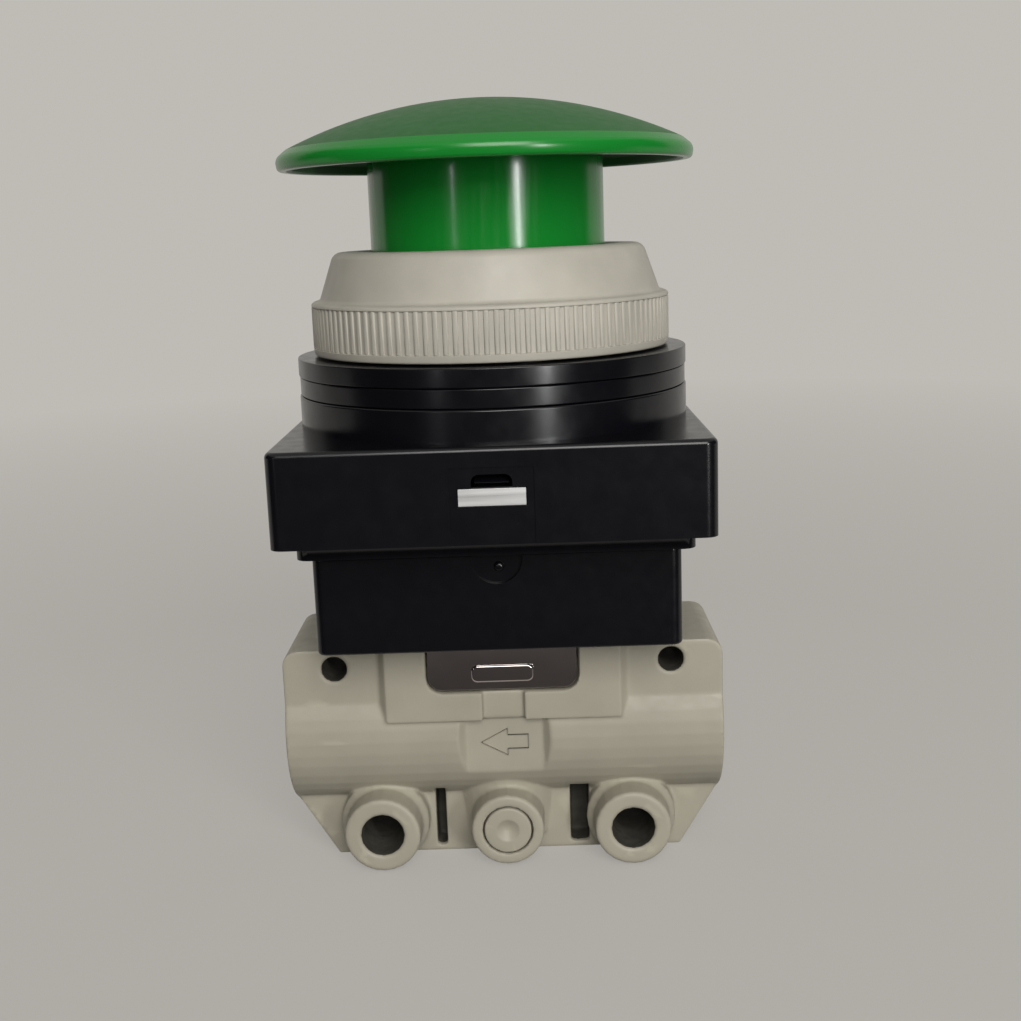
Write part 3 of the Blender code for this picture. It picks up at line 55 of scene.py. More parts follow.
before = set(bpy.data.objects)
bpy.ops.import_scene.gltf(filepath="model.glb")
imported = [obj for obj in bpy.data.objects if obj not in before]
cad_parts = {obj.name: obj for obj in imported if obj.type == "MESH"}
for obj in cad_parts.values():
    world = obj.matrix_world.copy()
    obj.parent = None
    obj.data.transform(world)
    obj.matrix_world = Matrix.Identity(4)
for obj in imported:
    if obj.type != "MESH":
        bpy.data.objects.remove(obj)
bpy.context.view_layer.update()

# Boxes of the nodes that the finished pieces are built on
BODY_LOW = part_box("valve_body")[0]
LOWER_LOW, LOWER_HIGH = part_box("lower_housing")
UPPER_LOW, UPPER_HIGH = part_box("upper_housing")
FIRST_RING_LOW, FIRST_RING_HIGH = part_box("lower_clamp_ring")
SECOND_RING_LOW, SECOND_RING_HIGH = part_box("upper_clamp_ring")
NUT_LOW, NUT_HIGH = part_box("ring_nut")
HEAD_LOW, HEAD_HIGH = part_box("mushroom_button")
STOP_LOW, STOP_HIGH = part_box("button_stop_ring")
PLUG_LOW, PLUG_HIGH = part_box("cross_hole_plug")

# Tolerances and fineness of the meshes
MERGE = 0.0000005
FLAT = 0.0001
OVERSHOOT = 0.001
SHARP_ANGLE = math.radians(38)
FLAT_ANGLE = math.radians(0.5)  # faces of the CAD mesh that turn less than this are one face
ROUND = 160
ROUND_SMALL = 64
EDGE_STEPS = 3
CORNER_STEPS = 6
FACING_FRONT = Matrix.Rotation(math.pi / 2, 3, "X")

# The valve body's casting
CAST_GRID = 0.00017  # the voxels that merge its forms before they are smoothed
CAST_PASSES = 2
CAST_SMOOTHING = 0.5
CAST_KEPT = 0.3  # share of the grid's faces kept after the flat parts are thinned
BORES = (  # the x, height and radius of each cross hole
    (-0.0125, 0.0040, 0.00215),
    (0.0125, 0.0040, 0.00215),
    (-0.0166, 0.02085, 0.00125),
    (0.0166, 0.02085, 0.00125),
)
BORE_MARGIN = 0.00015
BORE_INSET = 0.0003  # how far behind the faces the painted shade starts
BORE_SPLIT = 0.015  # the holes below this height open on the bosses, the others on the frame
# The dark grey painted into the holes and pockets as shade
BORE_SHADE_COLOUR = (0.06, 0.056, 0.046)
FRAME_FRONT = 0.0071
POCKETS = ((-0.00745, -0.00635), (0.00635, 0.00835))  # from x to x of each cored pocket
POCKET_TOP = 0.0082
POCKET_DEPTH = 0.0034

# The flow arrow on its pad
ARROW_AXIS = 0.0129
ARROW_TIP = -0.00236
ARROW_HEAD = 0.0003
ARROW_TAIL = 0.00236
ARROW_SPREAD = 0.0014
ARROW_SHAFT = 0.00072
ARROW_LINE = 0.00024
ARROW_RISE = 0.00020
ARROW_SINK = 0.00010
PAD_FACE = -0.0071

# The plug in the front boss
DIMPLE_SHARE = 0.49  # of the plug's radius
DIMPLE_DEPTH = 0.5  # as a share of the dimple's radius
DIMPLE_FLOOR = (0.3, 0.46)  # where its round floor ends, as shares of its radius

# The bracket and the stamped pad on its front leg
BRACKET_EDGE = 0.00018
BRACKET_EDGE_ANGLE = math.radians(50)
LEG_FACE = -0.0078
STAMP_HEIGHT = 0.0202
STAMP_HALF = Vector((0.00305, 0.0, 0.000875))
STAMP_RISE = 0.00015
STAMP_ROUND = 0.00025
STAMP_CORNER = 0.0006

# The housings
SHOULDER = 0.04468
COLLAR_TOP = 0.04768
COLLAR_RADIUS = 0.0190
SLEEVE_RADIUS = 0.0140
SLEEVE_BORE = 0.01174
STOP_ROOM = 0.01299
STOP_LEDGE = 0.04598
WALL = 0.0016
ROOF = 0.0018
WINDOW_LOW = 0.04108
WINDOW_HIGH = 0.04223
WINDOW_HALF = 0.0018
WINDOW_ARCH = 0.0007
TONGUE_HALF = 0.0037
TONGUE_TOP = 0.04288
TONGUE_DEPTH = 0.00015
LABEL_HALF = 0.00305
LABEL_LOW = 0.03933
LABEL_DEPTH = 0.0003
LABEL_THICKNESS = 0.00024
LABEL_EDGE = 0.00005
CUP_CORNER = 0.0010
CUP_EDGE_SHARE = 1.5  # of the moulded edge's rounding
CUP_WALL = 0.0020
CUP_HOLE = 0.0042
DISH_RADIUS = 0.0024
DISH_DEPTH = 0.0004
DISH_DROP = 0.00055
GATE_RADIUS = 0.0005
GATE_FLATNESS = 0.6
GATE_SHIFT = 0.0002  # to the right of the dish's centre
GATE_DROP = 0.0008  # below it

# The clamp rings and the ring nut
RING_EDGE_SHARE = 0.6  # of the moulded edge's rounding
FLANGE_TOP = 0.05652
FLANGE_EDGE = 0.0004
CONE_FOOT = 0.0166
CONE_TOP = 0.0150
CONE_ROUND = 0.0007
NUT_MOUTH = 0.0126
NUT_BORE = 0.0143
RING_SEAM = 0.00014
NUT_ROOF = 0.00125
KNURL_LOW = 0.00070
KNURL_HIGH = 0.00040

# The mushroom head
STEM_RADIUS = 0.01134
STEM_BORE = 0.00994
SOCKET_RADIUS = 0.0086
ROD_SEAT = 0.05864
CROWN_WALL = 0.0021
RIM_WALL = 0.0015
RIM_CREASE = 0.0010
RIM_SLOPE = 0.0008
RIM_BASE = 0.0688
GROOVE_DEPTH = 0.0006
RING_FIT = 0.0002
STEM_BLEND = (0.0712, 0.0718)
RIM_BLEND = (0.0189, 0.01905)
STEM_TINT = (0.8, 1.0, 1.0)
STEM_ROUGHNESS = (0.12, 0.26)
RIM_ROUGHNESS = 0.24
RIM_SHEEN = 0.45
# The crown's colour as shares of the head's: darker and greyer, as painted shade and sheen on the
# upward-facing dome
CROWN_SHADE_TINT = (1.2, 0.55, 0.8)
CROWN_ROUGHNESS = (0.42, 0.50)
CROWN_SHEEN = 0.30

# The other finishes
BLACK_ROUGHNESS = (0.20, 0.27)
BLACK_GRAIN = 0.0008
BLACK_RELIEF = 0.0000025
CREAM_ROUGHNESS = (0.42, 0.54)
CREAM_GRAIN = 0.0004
CREAM_RELIEF = 0.000006
BRASS = (0.66, 0.48, 0.22)
BRASS_ROUGHNESS = (0.22, 0.36)
STEEL_WIRE = (0.50, 0.50, 0.50)
WIRE_ROUGHNESS = (0.25, 0.38)
ZINC = (0.58, 0.58, 0.56)
ZINC_ROUGHNESS = (0.26, 0.4)
NITRILE = (0.028, 0.028, 0.028)

# Each spring, the joint that presses it and how far
SPRINGS = (
    ("return_spring", "button_press", 0.0035),
    ("plunger_spring", "plunger_slide", 0.0035),
    ("poppet_spring", "poppet_slide", 0.0027),
)

# The stage
LIGHT_AIM = Vector((0.0, 0.0, 0.04))
ROOM_COLOUR = (1.0, 0.985, 0.96, 1.0)
FLOOR_REACH = 2.5
FLOOR_BLEND = (0.10, 0.42)  # where the floor turns into the backdrop's colour
FLOOR_GLOW = 0.6
FLOOR_BOUNCE = 0.3  # share of the floor's colour that lights the valve from below
KEY_PLACE = (0.08, -0.47, 0.31)
KEY_SIZE = 0.30
REAR_PLACES = ((-0.42, 0.42, 0.11), (0.42, 0.42, 0.11))
REAR_SIZE = 0.20
STRIP_LEFT = (-0.262, -0.452, 0.09)
STRIP_RIGHT = (0.270, -0.452, 0.09)
STRIP_LEFT_SIZE = (0.008, 0.18)
STRIP_RIGHT_SIZE = (0.028, 0.18)
STRIP_LEFT_SHARE = 0.08
CARD_REACH = 0.62
CARD_HEIGHT = 0.55
CARD_GAP = 0.0008
CARD_COLOUR = (0.014, 0.0105, 0.0105)
CLOTH_EDGE = -0.03
CURTAIN_EDGE = 0.267
WARM_WHITE = (1.0, 0.985, 0.955)

# Where the photograph was taken from
CAMERA_PLACE = (0.003203, -0.138099, 0.0634)
CAMERA_RIGHT = (0.999356, 0.006700, -0.035246)
CAMERA_DOWN = (-0.033154, -0.202941, -0.978630)
CAMERA_AHEAD = (-0.013709, 0.979168, -0.202588)
CAMERA_LENS = 49.09
CAMERA_CLIP = (0.01, 20.0)
SENSOR = 36.0


# Settings


class ValveShapeSettings(bpy.types.PropertyGroup):
    """Sizes of the finished pieces"""

    dome_radius: bpy.props.FloatProperty(
        name="Dome radius",
        description="Radius of the sphere that the mushroom's crown is part of",
        default=0.044,
        unit="LENGTH",
        precision=4,
    )
    rim_rounding: bpy.props.FloatProperty(
        name="Rim rounding",
        description="Rounding of the mushroom's outer rim",
        default=0.0006,
        unit="LENGTH",
        precision=5,
    )
    knurl_count: bpy.props.IntProperty(
        name="Knurl ribs",
        description="Number of ribs round the ring nut's flange",
        default=120,
        min=24,
        max=240,
    )
    knurl_depth: bpy.props.FloatProperty(
        name="Knurl depth",
        description="How far the ribs stand out of the flange",
        default=0.00017,
        unit="LENGTH",
        precision=5,
    )
    knurl_land: bpy.props.FloatProperty(
        name="Knurl land",
        description="Share of the pitch that a rib fills",
        default=0.56,
        min=0.2,
        max=0.9,
        subtype="FACTOR",
    )
    housing_corner: bpy.props.FloatProperty(
        name="Housing corner",
        description="Radius of the upper housing's upright corners",
        default=0.0012,
        unit="LENGTH",
        precision=5,
    )
    housing_edge: bpy.props.FloatProperty(
        name="Housing edge",
        description="Rounding of the upper housing's top edge",
        default=0.0005,
        unit="LENGTH",
        precision=5,
    )
    moulded_edge: bpy.props.FloatProperty(
        name="Moulded edge",
        description="Rounding of the smaller plastic edges",
        default=0.0002,
        unit="LENGTH",
        precision=5,
    )


class ValveFinishSettings(bpy.types.PropertyGroup):
    """Colours of the finished pieces"""

    casting: bpy.props.FloatVectorProperty(
        name="Body paint",
        description="Colour of the painted casting",
        default=(0.345, 0.322, 0.256),
        size=3,
        subtype="COLOR",
    )
    head: bpy.props.FloatVectorProperty(
        name="Mushroom",
        description="Colour of the mushroom's plastic",
        default=(0.008, 0.20, 0.022),
        size=3,
        subtype="COLOR",
    )
    nut: bpy.props.FloatVectorProperty(
        name="Ring nut",
        description="Colour of the ring nut's plastic",
        default=(0.415, 0.394, 0.338),
        size=3,
        subtype="COLOR",
    )
    housing: bpy.props.FloatVectorProperty(
        name="Housings",
        description="Colour of the black plastic",
        default=(0.0032, 0.0032, 0.0048),
        size=3,
        subtype="COLOR",
    )
    # The plating's warm pinkish tint is a painted reflection: it stands for the dark maroon
    # surroundings mirrored in the bracket's leg
    plating: bpy.props.FloatVectorProperty(
        name="Bracket plating",
        description="Colour of the bright plating on the bracket",
        default=(0.60, 0.54, 0.52),
        size=3,
        subtype="COLOR",
    )
    label: bpy.props.FloatVectorProperty(
        name="Bare plate",
        description="Colour of the bare metal plate on the front",
        default=(0.72, 0.72, 0.71),
        size=3,
        subtype="COLOR",
    )


class ValveStageSettings(bpy.types.PropertyGroup):
    """Floor and lights"""

    floor: bpy.props.FloatVectorProperty(
        name="Floor",
        description="Colour of the floor round the valve",
        default=(0.44, 0.424, 0.40),
        size=3,
        subtype="COLOR",
    )
    backdrop: bpy.props.FloatVectorProperty(
        name="Backdrop",
        description="Colour of the plain backdrop behind the valve",
        default=(0.52, 0.50, 0.467),
        size=3,
        subtype="COLOR",
    )
    key_power: bpy.props.FloatProperty(
        name="Key light",
        description="Power of the soft light above the camera",
        default=2.15,
        unit="POWER",
    )
    rear_power: bpy.props.FloatProperty(
        name="Rear light",
        description="Power of the soft light behind the valve",
        default=1.0,
        unit="POWER",
    )
    strip_power: bpy.props.FloatProperty(
        name="Strip lights",
        description="Power of the upright strip lights that streak the stem and the rings",
        default=0.75,
        unit="POWER",
    )
    world_strength: bpy.props.FloatProperty(
        name="Room light",
        description="Strength of the even light from all round",
        default=0.24,
        min=0.0,
        max=2.0,
    )


# Mesh helpers


def round_off(shape, edges, width, steps=EDGE_STEPS):
    """Rounds these edges of a shape."""
    bmesh.ops.bevel(
        shape,
        geom=edges,
        offset=width,
        offset_type="OFFSET",
        segments=steps,
        profile=0.5,
        affect="EDGES",
        clamp_overlap=True,
        material=-1,
    )


def turned(corners, steps=ROUND, closed=True):
    """A shape turned about Z from its half section's corners, each (radius, height, rounding)."""
    shape = bmesh.new()
    points = [shape.verts.new((radius, 0.0, height)) for radius, height, _ in corners]
    ends = points[1:] + points[:1] if closed else points[1:]
    for pair in zip(points, ends):
        shape.edges.new(pair)
    for point, corner in zip(points, corners):
        if corner[2]:
            bmesh.ops.bevel(
                shape,
                geom=[point],
                offset=corner[2],
                offset_type="OFFSET",
                segments=EDGE_STEPS + 1,
                profile=0.5,
                affect="VERTICES",
                material=-1,
            )
    bmesh.ops.spin(
        shape,
        geom=shape.verts[:] + shape.edges[:],
        cent=(0.0, 0.0, 0.0),
        axis=(0.0, 0.0, 1.0),
        angle=math.tau,
        steps=steps,
        use_merge=True,
    )
    bmesh.ops.remove_doubles(shape, verts=shape.verts, dist=MERGE)
    bmesh.ops.recalc_face_normals(shape, faces=shape.faces)
    return shape


def dome_arc(crown, sphere, reach, wall=0.0, steps=20):
    """Corners of a dome's section from its axis out to a radius, a wall's thickness below it."""
    radius = sphere - wall
    sweep = math.asin(reach / radius)
    angles = [sweep * step / steps for step in range(steps + 1)]
    middle = crown - sphere
    return [(radius * math.sin(a), middle + radius * math.cos(a), 0.0) for a in angles]


def block(low, high, corner=0.0, edge=0.0):
    """A box between two corners, with rounded upright corners and rounded rims."""
    shape = bmesh.new()
    bmesh.ops.create_cube(shape, size=1.0)
    size = Vector(high) - Vector(low)
    bmesh.ops.scale(shape, vec=size, verts=shape.verts)
    bmesh.ops.translate(shape, vec=(Vector(high) + Vector(low)) / 2, verts=shape.verts)
    if corner:
        uprights = [e for e in shape.edges if abs(e.verts[0].co.z - e.verts[1].co.z) > size.z / 2]
        round_off(shape, uprights, corner, CORNER_STEPS)
    if edge:
        rims = [e for e in shape.edges if abs(e.verts[0].co.z - e.verts[1].co.z) < MERGE]
        round_off(shape, rims, edge)
    return shape


def rod(radius, low, high):
    """A round bar along Z."""
    shape = bmesh.new()
    bmesh.ops.create_cone(
        shape,
        cap_ends=True,
        segments=ROUND_SMALL,
        radius1=radius,
        radius2=radius,
        depth=high - low,
    )
    bmesh.ops.translate(shape, vec=(0.0, 0.0, (low + high) / 2), verts=shape.verts)
    return shape


def face_front(shape, at):
    """Turns a shape's top to the front and sets its origin down at a point."""
    matrix = Matrix.Translation(at) @ FACING_FRONT.to_4x4()
    bmesh.ops.transform(shape, matrix=matrix, verts=shape.verts)


def made_object(shape, name):
    """An object that holds a finished bmesh."""
    mesh = bpy.data.meshes.new(name)
    shape.to_mesh(mesh)
    shape.free()
    obj = bpy.data.objects.new(name, mesh)
    bpy.context.scene.collection.objects.link(obj)
    return obj


def settle(obj):
    """Applies an object's modifiers to its mesh."""
    graph = bpy.context.evaluated_depsgraph_get()
    mesh = bpy.data.meshes.new_from_object(obj.evaluated_get(graph))
    obj.modifiers.clear()
    obj.data = mesh


def combine(obj, shapes, operation):
    """Joins shapes to an object or cuts them out of it."""
    group = bpy.data.collections.new("carving of " + obj.name)
    cutters = [made_object(shape, "cutter") for shape in shapes]
    for cutter in cutters:
        group.objects.link(cutter)
    step = obj.modifiers.new("carved", "BOOLEAN")
    step.operation = operation
    step.solver = "EXACT"
    step.operand_type = "COLLECTION"
    step.collection = group
    settle(obj)
    for cutter in cutters:
        bpy.data.objects.remove(cutter, do_unlink=True)
    bpy.data.collections.remove(group)


def merged_copy(node, name):
    """A copy of a CAD node's mesh with its loose triangles merged and its flat faces whole."""
    shape = bmesh.new()
    shape.from_mesh(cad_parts[node].data)
    bmesh.ops.remove_doubles(shape, verts=shape.verts, dist=MERGE * 4)
    bmesh.ops.dissolve_limit(
        shape,
        angle_limit=FLAT_ANGLE,
        verts=shape.verts,
        edges=shape.edges,
    )
    return made_object(shape, name)


def dress(obj, body, slot, finish, *nodes):
    """Shades a piece, gives it a finish and a body, and hides the nodes it stands for."""
    obj.data.shade_smooth()
    obj.data.set_sharp_from_angle(angle=SHARP_ANGLE)
    obj.data.materials.clear()
    obj.data.materials.append(finish)
    weight = obj.modifiers.new("even shading", "WEIGHTED_NORMAL")
    weight.keep_sharp = True
    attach(obj, body)
    if nodes:
        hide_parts(*nodes)


# Finishes


def add_node(tree, kind, inputs=None, **settings):
    """Adds a shader node with its settings, and the values or links of its inputs."""
    made = tree.nodes.new("ShaderNode" + kind)
    for name, value in settings.items():
        setattr(made, name, value)
    for socket, value in (inputs or {}).items():
        if isinstance(value, bpy.types.NodeSocket):
            tree.links.new(value, made.inputs[socket])
        else:
            made.inputs[socket].default_value = value
    return made


def new_finish(name, metallic=0.0, **sockets):
    """A new material, with its node tree and its shader."""
    material = bpy.data.materials.new(name)
    material.use_nodes = True
    tree = material.node_tree
    shader = next(node for node in tree.nodes if node.type == "BSDF_PRINCIPLED")
    shader.inputs["Metallic"].default_value = metallic
    for socket, value in sockets.items():
        shader.inputs[socket.replace("_", " ")].default_value = value
    return material, tree, shader


def grain(tree, size, detail=3.0, stretch=(1.0, 1.0, 1.0)):
    """Noise over the piece's own coordinates, its grains about size across."""
    place = add_node(tree, "TexCoord").outputs["Object"]
    mapped = add_node(tree, "Mapping", {"Vector": place, "Scale": stretch}).outputs["Vector"]
    noise = add_node(tree, "TexNoise", {"Vector": mapped, "Scale": 1.0 / size, "Detail": detail})
    return noise.outputs["Fac"]


def spread(tree, value, low, high, start=0.3, stop=0.7):
    """Maps a value that runs from start to stop onto low to high."""
    inputs = {"Value": value, "From Min": start, "From Max": stop, "To Min": low, "To Max": high}
    return add_node(tree, "MapRange", inputs).outputs["Result"]


def tinted(tree, factor, colour, low, high):
    """A colour made darker and lighter round its own value by a factor from 0 to 1."""
    mix = add_node(tree, "Mix", data_type="RGBA")
    tree.links.new(factor, mix.inputs[0])
    mix.inputs[6].default_value = (*[channel * low for channel in colour], 1.0)
    mix.inputs[7].default_value = (*[channel * high for channel in colour], 1.0)
    return mix.outputs[2]


def blended(tree, factor, first, colour):
    """A colour output mixed towards a second, plain colour."""
    mix = add_node(tree, "Mix", data_type="RGBA")
    tree.links.new(factor, mix.inputs[0])
    tree.links.new(first, mix.inputs[6])
    mix.inputs[7].default_value = (*colour, 1.0)
    return mix.outputs[2]


def coloured(tree, shader, colour):
    """Feeds a colour output to a shader."""
    tree.links.new(colour, shader.inputs["Base Color"])


def roughened(tree, shader, value):
    """Feeds a roughness to a shader."""
    tree.links.new(value, shader.inputs["Roughness"])


def embossed(tree, shader, height, distance, strength=1.0):
    """Gives a shader a bump from a height between 0 and 1."""
    inputs = {"Height": height, "Distance": distance, "Strength": strength}
    bump = add_node(tree, "Bump", inputs)
    tree.links.new(bump.outputs["Normal"], shader.inputs["Normal"])


def cast_paint(name, colour):
    """Satin paint over a die casting: faint mottling, orange peel and paler sharp convex edges."""
    material, tree, shader = new_finish(name, Specular_IOR_Level=0.4)
    mottle = spread(tree, grain(tree, 0.006, 5.0), 0.0, 1.0)
    edge_pointiness = add_node(tree, "NewGeometry").outputs["Pointiness"]
    paint = tinted(tree, mottle, colour, 0.94, 1.05)
    # The sharpest convex edges are coloured paler
    edges = spread(tree, edge_pointiness, 0.0, 0.35, 0.52, 0.60)
    pale = [channel * 1.35 for channel in colour]
    coloured(tree, shader, blended(tree, edges, paint, pale))
    roughened(tree, shader, spread(tree, grain(tree, 0.0012), 0.40, 0.56))
    embossed(tree, shader, grain(tree, 0.0005, 4.0), 0.00002, 0.5)
    return material


def bare_bore(name, colour):
    """Painted shade for the cross holes and cored pockets: a dark mottled grey that stands for the
    shade deep inside them.
    """
    material, tree, shader = new_finish(name, Specular_IOR_Level=0.2)
    mottle = spread(tree, grain(tree, 0.001), 0.0, 1.0)
    coloured(tree, shader, tinted(tree, mottle, colour, 0.8, 1.2))
    roughened(tree, shader, spread(tree, grain(tree, 0.0006), 0.6, 0.8))
    return material


def moulded(name, colour, roughness, texture, relief):
    """Moulded plastic: a fine tool grain, faint clouding and a roughness that wanders."""
    material, tree, shader = new_finish(name, Specular_IOR_Level=0.42)
    clouds = spread(tree, grain(tree, 0.005, 4.0), 0.0, 1.0)
    coloured(tree, shader, tinted(tree, clouds, colour, 0.92, 1.08))
    roughened(tree, shader, spread(tree, grain(tree, 0.0015, 5.0), *roughness))
    embossed(tree, shader, grain(tree, texture, 2.0), relief)
    return material


def head_plastic(name, colour):
    """The mushroom's plastic: satin on the crown, polished and lightly scored on the stem, with
    the crown's colour darker and greyer than the rim's and stem's as painted shade and sheen on
    the upward-facing dome.
    """
    material, tree, shader = new_finish(name)
    clouds = spread(tree, grain(tree, 0.008, 3.0), 0.0, 1.0)
    parts = add_node(tree, "SeparateXYZ", {"Vector": add_node(tree, "TexCoord").outputs["Object"]})
    flat = add_node(tree, "CombineXYZ", {"X": parts.outputs["X"], "Y": parts.outputs["Y"]})
    reach = add_node(tree, "VectorMath", {0: flat.outputs[0]}, operation="LENGTH").outputs["Value"]
    below = spread(tree, parts.outputs["Z"], 1.0, 0.0, *STEM_BLEND)
    inside = spread(tree, reach, 1.0, 0.0, STEM_RADIUS + FLAT, STEM_RADIUS + 6 * FLAT)
    stem = add_node(tree, "Math", {0: below, 1: inside}, operation="MULTIPLY").outputs[0]
    rim = spread(tree, reach, 0.0, 1.0, *RIM_BLEND)
    # Painted shade and sheen: the crown is coloured darker and greyer than the rim and stem
    crown_painted_shade = [channel * share for channel, share in zip(colour, CROWN_SHADE_TINT)]
    crown = tinted(tree, clouds, crown_painted_shade, 0.95, 1.05)
    bright = [channel * share for channel, share in zip(colour, STEM_TINT)]
    edge = blended(tree, rim, crown, bright)
    coloured(tree, shader, blended(tree, stem, edge, bright))
    scored = grain(tree, 0.0006, 4.0, (1.0, 1.0, 0.06))
    polished = spread(tree, scored, *STEM_ROUGHNESS)
    satin = spread(tree, grain(tree, 0.001, 4.0), *CROWN_ROUGHNESS)
    glossy = add_node(tree, "Mix", {0: rim, 2: satin, 3: RIM_ROUGHNESS}, data_type="FLOAT")
    shiny = add_node(tree, "Math", {0: rim, 1: stem}, operation="MAXIMUM").outputs[0]
    sheen = spread(tree, shiny, CROWN_SHEEN, RIM_SHEEN, 0.0, 1.0)
    tree.links.new(sheen, shader.inputs["Specular IOR Level"])
    rough = add_node(tree, "Mix", {0: stem, 2: glossy.outputs[0], 3: polished}, data_type="FLOAT")
    roughened(tree, shader, rough.outputs[0])
    marks = add_node(tree, "Math", {0: scored, 1: stem}, operation="MULTIPLY").outputs[0]
    embossed(tree, shader, marks, 0.000004, 0.6)
    return material


def bright_plating(name, colour):
    """Plated sheet steel: mirror-like, with faint rolling marks and finger haze."""
    material, tree, shader = new_finish(name, 1.0)
    haze = spread(tree, grain(tree, 0.004, 4.0), 0.0, 1.0)
    coloured(tree, shader, tinted(tree, haze, colour, 0.9, 1.05))
    rolled = grain(tree, 0.0008, 4.0, (0.1, 1.0, 1.0))
    roughened(tree, shader, spread(tree, rolled, 0.06, 0.12))
    embossed(tree, shader, rolled, 0.000003, 0.5)
    return material


def brushed_plate(name, colour):
    """Bare brushed metal, the strokes running along X."""
    material, tree, shader = new_finish(name, 1.0)
    strokes = grain(tree, 0.0006, 6.0, (0.05, 1.0, 1.0))
    coloured(tree, shader, tinted(tree, spread(tree, strokes, 0.0, 1.0), colour, 0.85, 1.1))
    roughened(tree, shader, spread(tree, strokes, 0.50, 0.66))
    embossed(tree, shader, strokes, 0.000004, 0.6)
    return material


def bare_metal(name, colour, roughness):
    """Turned or drawn metal with fine marks."""
    material, tree, shader = new_finish(name, 1.0)
    marks = grain(tree, 0.0008, 4.0, (1.0, 1.0, 3.0))
    coloured(tree, shader, tinted(tree, spread(tree, marks, 0.0, 1.0), colour, 0.88, 1.08))
    roughened(tree, shader, spread(tree, marks, *roughness))
    embossed(tree, shader, marks, 0.000004, 0.5)
    return material


def rubber(name):
    """Black nitrile rubber with a dusty bloom."""
    material, tree, shader = new_finish(name)
    bloom = spread(tree, grain(tree, 0.0012, 4.0), 0.0, 1.0)
    coloured(tree, shader, tinted(tree, bloom, NITRILE, 0.7, 1.3))
    roughened(tree, shader, spread(tree, bloom, 0.6, 0.8, 0.0, 1.0))
    embossed(tree, shader, grain(tree, 0.0003, 3.0), 0.000008, 0.6)
    return material


def finish_colour(context, name):
    """A colour from the finish settings."""
    return tuple(getattr(context.scene.push_valve_finish, name))


def shared_finish(name, maker, *details):
    """The material of this name, made the first time it is asked for."""
    return bpy.data.materials.get(name) or maker(name, *details)


def casting_paint(context):
    """The painted casting's finish, which its plug shares."""
    return shared_finish("painted_casting_finish", cast_paint, finish_colour(context, "casting"))


def black_plastic(context):
    """The housings' black plastic."""
    details = (finish_colour(context, "housing"), BLACK_ROUGHNESS, BLACK_GRAIN, BLACK_RELIEF)
    return shared_finish("black_moulding", moulded, *details)


def cream_plastic(context):
    """The ring nut's off-white plastic."""
    details = (finish_colour(context, "nut"), CREAM_ROUGHNESS, CREAM_GRAIN, CREAM_RELIEF)
    return shared_finish("off_white_moulding", moulded, *details)


# Operators, one for each piece or group of like pieces


class MakeCastBody(bpy.types.Operator):
    """Makes the painted casting with its cast fillets and the raised flow arrow"""

    bl_idname = "push_valve.cast_body"
    bl_label = "Cast body"

    def execute(self, context):
        paint = casting_paint(context)
        casting = merged_copy("valve_body", "cast_body")
        grid = casting.modifiers.new("cast grid", "REMESH")
        grid.mode = "VOXEL"
        grid.voxel_size = CAST_GRID
        settle(casting)
        shape = bmesh.new()
        shape.from_mesh(casting.data)
        for _ in range(CAST_PASSES):
            bmesh.ops.smooth_vert(
                shape,
                verts=shape.verts,
                factor=CAST_SMOOTHING,
                use_axis_x=True,
                use_axis_y=True,
                use_axis_z=True,
            )
        for vert in shape.verts:
            vert.co.z = max(vert.co.z, BODY_LOW.z)
        shape.to_mesh(casting.data)
        shape.free()
        thinned = casting.modifiers.new("thinned faces", "DECIMATE")
        thinned.ratio = CAST_KEPT
        settle(casting)
        dress(casting, "valve", "painted_casting", paint, "valve_body")
        # Painted shade in the holes and pockets
        self.paint_shade_into_bores(casting)
        dress(self.arrow(), "valve", "painted_casting", paint)
        return {"FINISHED"}

    def paint_shade_into_bores(self, casting):
        """Paints shade into the cross holes and the cored pockets by giving their deep faces a
        dark material.
        """
        casting.data.materials.append(shared_finish("bare_bore", bare_bore, BORE_SHADE_COLOUR))
        for face in casting.data.polygons:
            place = face.center
            for x, z, radius in BORES:
                inside = math.hypot(place.x - x, place.z - z) < radius + BORE_MARGIN
                front = BODY_LOW.y if z < BORE_SPLIT else -FRAME_FRONT
                if inside and abs(place.y) < -front - BORE_INSET:
                    face.material_index = 1
            deep = place.z < POCKET_TOP and abs(place.y) < POCKET_DEPTH
            if deep and any(low < place.x < high for low, high in POCKETS):
                face.material_index = 1

    def arrow(self):
        """The flow arrow's raised outline on its pad, which points to the outlet."""
        middle = ARROW_AXIS
        outline = [
            (ARROW_TIP, middle),
            (ARROW_HEAD, middle - ARROW_SPREAD),
            (ARROW_HEAD, middle - ARROW_SHAFT),
            (ARROW_TAIL, middle - ARROW_SHAFT),
            (ARROW_TAIL, middle + ARROW_SHAFT),
            (ARROW_HEAD, middle + ARROW_SHAFT),
            (ARROW_HEAD, middle + ARROW_SPREAD),
        ]
        shape = bmesh.new()
        corners = [shape.verts.new((x, PAD_FACE + ARROW_SINK, z)) for x, z in outline]
        face = shape.faces.new(corners)
        bmesh.ops.inset_region(
            shape,
            faces=[face],
            thickness=ARROW_LINE,
            use_boundary=True,
            use_even_offset=True,
        )
        bmesh.ops.delete(shape, geom=[face], context="FACES")
        made = bmesh.ops.extrude_face_region(shape, geom=shape.faces[:])
        moved = [item for item in made["geom"] if isinstance(item, bmesh.types.BMVert)]
        bmesh.ops.translate(shape, vec=(0.0, -ARROW_SINK - ARROW_RISE, 0.0), verts=moved)
        bmesh.ops.recalc_face_normals(shape, faces=shape.faces)
        front = min(vert.co.y for vert in shape.verts)
        crests = [e for e in shape.edges if all(v.co.y < front + MERGE for v in e.verts)]
        outer = [e for e in crests if any(f.normal.y > -0.5 for f in e.link_faces)]
        round_off(shape, outer, ARROW_LINE / 4, 2)
        return made_object(shape, "flow_arrow")


